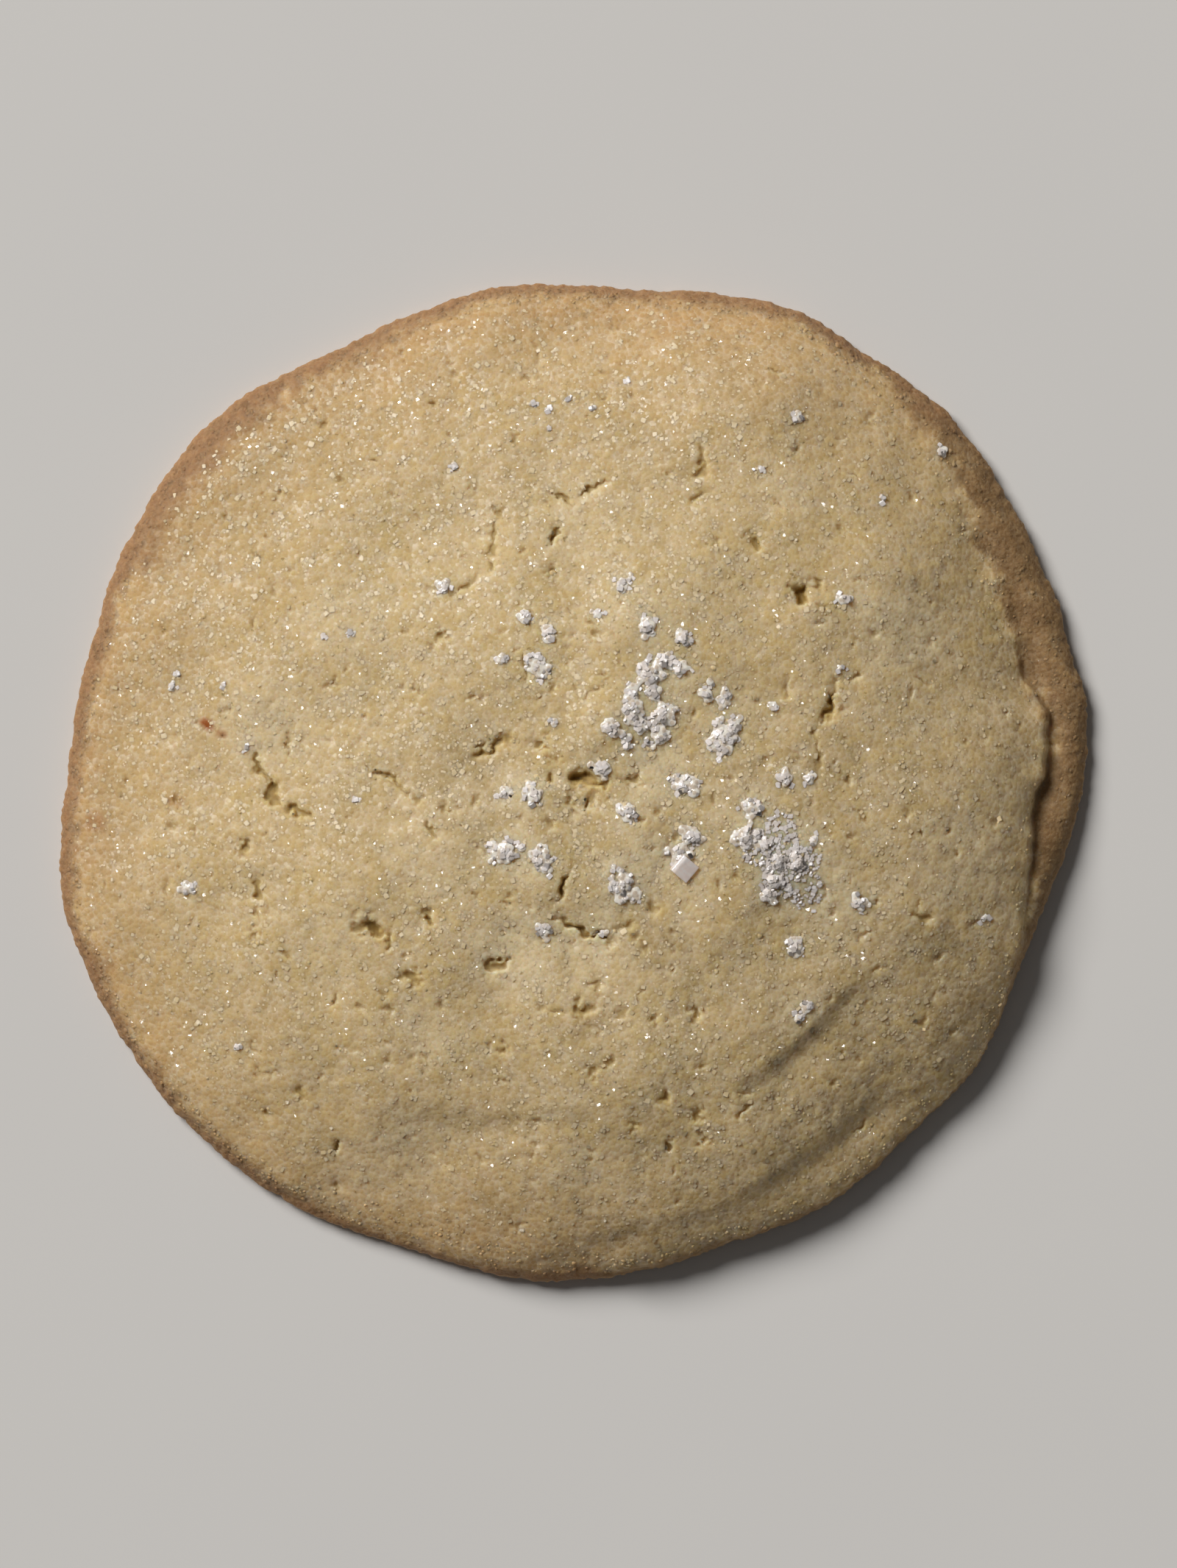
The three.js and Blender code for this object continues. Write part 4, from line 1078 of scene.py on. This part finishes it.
knobs = [np.concatenate(rows) for rows in zip(*(knobs_of(*lump) for lump in LUMPS))]
lumps = join_copies("sugar_lumps", KNOB_MOULD, *knobs)
bpy.ops.object.select_all(action="DESELECT")
bpy.context.view_layer.objects.active = lumps
lumps.select_set(True)
melt = lumps.modifiers.new("melt", "REMESH")
melt.mode = "VOXEL"
melt.voxel_size = LUMP_VOXEL * MM
bpy.ops.object.modifier_apply(modifier=melt.name)
soften = lumps.modifiers.new("soften", "SMOOTH")
soften.factor, soften.iterations = 0.5, 2
bpy.ops.object.modifier_apply(modifier=soften.name)
bpy.ops.object.shade_smooth()
print("melted lumps:", len(lumps.data.polygons), "faces")

# %% [markdown]
# Crystals that never melted stick out of these masses, flat and half sunk. They lie on what is
# highest at their place, so a second search tree holds the crust and the lumps together. The
# dusted patch at the right is a wide layer of such crystals, with a few small masses in it.

# %% Set crystals into the lumps
DUSTED_PATCH = (16.0, -6.2, 6.0)
LUMP_CRYSTAL, LUMP_CRYSTALS_PER_AREA = 0.42, 5.0
DUST_CRYSTAL, DUST_CRYSTALS_PER_AREA = 0.36, 11.0
CRYSTAL_LEAN = 0.4
lump_tree = search_tree(body.data, lumps.data)


def crystals_in(lump_x, lump_y, size, crystal, per_area):
    """Centres, sizes, turns and normals of the crystals that stick out of one lump."""
    x, y, _ = in_lump(lump_x, lump_y, size, max(3, int(per_area * size ** 2)))
    centres, normals = below(lump_tree, x, y)
    sizes = crystal * dice.uniform(0.6, 1.25, (len(x), 1)) * dice.uniform(0.65, 1.05, (len(x), 3))
    centres += normals * (crystal * dice.uniform(0.1, 0.3, (len(x), 1)) - 0.5 * sizes[:, 2:])
    return centres, sizes, random_turns(len(x), CRYSTAL_LEAN), normals


set_in = [crystals_in(*lump, LUMP_CRYSTAL, LUMP_CRYSTALS_PER_AREA) for lump in LUMPS]
set_in.append(crystals_in(*DUSTED_PATCH, DUST_CRYSTAL, DUST_CRYSTALS_PER_AREA))
crystals = join_copies("lump_crystals", CRYSTAL_MOULD, *(np.concatenate(rows) for rows in zip(*set_in)))

# %% [markdown]
# ## The large clear crystal
#
# One crystal stands out: a square block of a millimetre and a half, sharp edged, leaning in the
# crust to the right of the middle. A copy of the mould would look worn at this size, so it is
# modelled on its own, as a block with a wide bevel on the edge that faces the lamp, where it
# flashes, and a fine bevel on all the others.

# %% Model the large crystal
CLEAR_PLACE = (8.31, -6.64)
CLEAR_SIZE = (1.55, 1.55, 0.95)
CLEAR_HEADING, CLEAR_LEAN = 50.0, 17.0
WIDE_BEVEL, FINE_BEVEL = 0.17, 0.05
bpy.ops.mesh.primitive_cube_add(size=1.0, location=(0, 0, 0))
clear = bpy.context.object
clear.name = clear.data.name = "clear_crystal"
for vertex in clear.data.vertices:
    vertex.select = False
for edge in clear.data.edges:
    ends = [clear.data.vertices[i].co for i in edge.vertices]
    edge.select = all(end.y > 0 and end.z > 0 for end in ends)
for face in clear.data.polygons:
    face.select = False
bpy.ops.object.mode_set(mode="EDIT")
bpy.ops.mesh.select_mode(type="EDGE")
bpy.ops.mesh.bevel(offset=WIDE_BEVEL, segments=1, affect="EDGES")
bpy.ops.mesh.select_all(action="SELECT")
bpy.ops.mesh.bevel(offset=FINE_BEVEL, segments=2, affect="EDGES")
bpy.ops.mesh.select_all(action="SELECT")
bpy.ops.transform.resize(value=tuple(MM * size for size in CLEAR_SIZE))
bpy.ops.object.mode_set(mode="OBJECT")
spot, _ = below(crust_tree, [CLEAR_PLACE[0]], [CLEAR_PLACE[1]])
leaning = Matrix.Rotation(math.radians(CLEAR_LEAN), 3, "X")
leaning = Matrix.Rotation(math.radians(CLEAR_HEADING), 3, "Z") @ leaning
set_points(clear.data, get_points(clear.data) @ np.array(leaning).T + MM * spot[0])
print("large crystal at", np.round(spot[0], 1), "mm,", len(clear.data.polygons), "faces")

# %% [markdown]
# ## Sugar
#
# A sugar crystal is clear, and a heap of them is white, because light is bent at every face. It
# could be made as glass, but a closed glass crystal half sunk in crumb turns dark in a render,
# since few rays find their way out of it again. So the sugar is a pale solid under a clear, shiny
# coat, which gives the glints, and each kind gets what it needs to look lit from within:
#
# - single grains and crystals take most of their shading from the slope of the crust below them
# - melted lumps have packed grains in the bump, shading that is pulled upright, a little light of
#   their own for the light that wanders about inside real sugar, and a few sparkles
# - only the large crystal is partly glass

# %% The sugar materials
SUGAR_LIGHT = 0.1
SUGAR_CELL = 0.36
UPRIGHT = (0.0, 0.0, 0.9)
SUGAR_SPARKLE_STRENGTH = 0.09


def normal_between(place, evenness):
    """A normal between a crystal's own face and the crust that it lies on."""
    lie = place.node("ShaderNodeAttribute", {"attribute_name": "lie"}, {}, output="Vector")
    to_world = {"vector_type": "NORMAL", "convert_from": "OBJECT", "convert_to": "WORLD"}
    crust_normal = place.node("ShaderNodeVectorTransform", to_world, {0: lie})
    facet_normal = place.node("ShaderNodeNewGeometry", {}, {}, output="Normal")
    between = {0: evenness, 4: facet_normal, 5: crust_normal}
    blended = place.node("ShaderNodeMix", {"data_type": "VECTOR"}, between, output=1)
    return vector_sum("NORMALIZE", {0: blended})


def sugar_material(name, darker, lighter, coat=1.0, evenness=0.0, clearness=0.0, glow=0.0, sparkle=0.0):
    """Sugar between two colours. By its evenness its shading follows the crust below and not its
    own faces, by its clearness it is glass, by its glow light scatters inside it, and by its
    sparkle packed facets in it flash. Sparkling and clear sugar also give off a faint painted
    light in their own colour."""
    material, place = new_material(name)
    finish = {
        "Roughness": 0.45,
        "IOR": 1.54,
        "Transmission Weight": clearness,
        "Coat Weight": coat,
        "Coat Roughness": 0.04,
        "Coat IOR": 1.54,
        "Subsurface Weight": glow,
        "Subsurface Radius": (1.0, 0.92, 0.8),
        "Subsurface Scale": 0.3 * MM,
    }
    if evenness:
        finish["Normal"] = normal_between(place, evenness)
    if sparkle:
        apart, facet_height, _ = facets_of(place, SUGAR_CELL)
        tone = apart.rise(0.35, 0.65).mix(darker, lighter)
        upright = vector_sum("ADD", {0: bump_of(place, 0.3 * facet_height - 0.06 * apart), 1: UPRIGHT})
        finish["Normal"] = vector_sum("NORMALIZE", {0: upright})
    else:
        tone = noise_of(place, 0.5).rise(0.35, 0.65).mix(darker, lighter)
    finish["Base Color"] = tone
    # Painted light: sparkling and clear sugar glow faintly in their own colour, which brightens their shaded
    # sides.
    if sparkle or clearness:
        finish["Emission Color"] = tone
        finish["Emission Strength"] = SUGAR_LIGHT
    scatters = {"subsurface_method": "RANDOM_WALK"}
    shader = place.node("ShaderNodeBsdfPrincipled", scatters, finish, output="BSDF")
    if sparkle:
        shader = with_sparkles(place, shader, sparkle, SUGAR_SPARKLE_STRENGTH)
    shader.node("ShaderNodeOutputMaterial", {}, {"Surface": shader})
    return material


WARM_SUGAR = colour(234, 208, 158), colour(244, 222, 182)
FUSED_SUGAR = colour(218, 200, 178), colour(252, 240, 224)
WHITE_SUGAR = colour(242, 228, 216), colour(255, 246, 240)
BRIGHT_SUGAR = colour(244, 232, 226), colour(255, 246, 242)
sunk_sugar = sugar_material("sunk_sugar", *WARM_SUGAR, coat=0.25, evenness=0.97)
melted_sugar = sugar_material("melted_sugar", *FUSED_SUGAR, glow=0.5, sparkle=0.5)
white_sugar = sugar_material("white_sugar", *WHITE_SUGAR, coat=0.8, evenness=0.85)
clear_sugar = sugar_material("clear_sugar", *BRIGHT_SUGAR, clearness=0.3, glow=0.4)
finishes = [(grains, sunk_sugar), (specks, sunk_sugar), (lumps, melted_sugar), (crystals, white_sugar)]
for piece, sugar in [*finishes, (clear, clear_sugar)]:
    piece.data.materials.append(sugar)
print("sugar pieces:", [piece.name for piece, _ in finishes], clear.name)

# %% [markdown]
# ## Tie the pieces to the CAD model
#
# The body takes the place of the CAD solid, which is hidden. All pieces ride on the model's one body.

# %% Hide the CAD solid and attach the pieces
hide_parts("cookie")
for piece in (body, crumbs, grains, specks, lumps, crystals, clear):
    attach(piece, "root")

# %% [markdown]
# ## Floor, light and camera
#
# The cookie lies on a plain pale floor. A soft lamp stands low at the upper left, so every crack
# and pore shades itself and a short shadow falls to the lower right, and a pale sky fills the
# shadows. The camera looks straight down from far away with a long lens, which keeps the outline
# true.

# %% Set the stage
bpy.ops.mesh.primitive_plane_add(size=1.6, location=(0, 0, 0))
floor = bpy.context.object
floor.name = "floor"
paper, place = new_material("pale_floor")
tint = noise_of(place, 30.0).mix(colour(229, 225, 220), colour(232, 228, 222))
shader = place.node("ShaderNodeBsdfPrincipled", {}, {"Base Color": tint, "Roughness": 0.9}, output="BSDF")
shader.node("ShaderNodeOutputMaterial", {}, {"Surface": shader})
floor.data.materials.append(paper)

LAMP_HEADING, LAMP_HEIGHT, LAMP_DISTANCE, LAMP_SIZE, LAMP_POWER = 134.0, 41.0, 4.0, 2.1, 153.0
heading, height = math.radians(LAMP_HEADING), math.radians(LAMP_HEIGHT)
level = math.cos(height)
toward = Vector((math.cos(heading) * level, math.sin(heading) * level, math.sin(height)))
bpy.ops.object.light_add(type="AREA", location=toward * LAMP_DISTANCE)
lamp = bpy.context.object
lamp.data.shape = "DISK"
lamp.data.size = LAMP_SIZE
lamp.data.energy = LAMP_POWER
lamp.rotation_euler = toward.to_track_quat("Z", "Y").to_euler()

SKY_STRENGTH = 0.07
sky = bpy.data.worlds.new("pale_sky")
sky.use_nodes = True
sky.node_tree.nodes["Background"].inputs["Color"].default_value = (0.97, 0.98, 1.0, 1.0)
sky.node_tree.nodes["Background"].inputs["Strength"].default_value = SKY_STRENGTH
bpy.context.scene.world = sky
bpy.context.scene.view_settings.view_transform = "Standard"

IMAGE_WIDTH, IMAGE_HEIGHT = 1600, 2131
PIXELS_PER_MM = 17.5
OUTLINE_PIXEL = (782.5, 1062.0)
CAMERA_HEIGHT, SENSOR = 0.6, 36.0
view_x = (IMAGE_WIDTH / 2 - OUTLINE_PIXEL[0]) / PIXELS_PER_MM - MIDDLE[0]
view_y = (OUTLINE_PIXEL[1] - IMAGE_HEIGHT / 2) / PIXELS_PER_MM - MIDDLE[1]
bpy.ops.object.camera_add(location=(view_x * MM, view_y * MM, CAMERA_HEIGHT), rotation=(0, 0, 0))
camera = bpy.context.object
camera.data.sensor_width = SENSOR
camera.data.lens = SENSOR * (CAMERA_HEIGHT - MM) / (IMAGE_HEIGHT / PIXELS_PER_MM * MM)
bpy.context.scene.camera = camera
print("lens, mm:", round(camera.data.lens, 1))
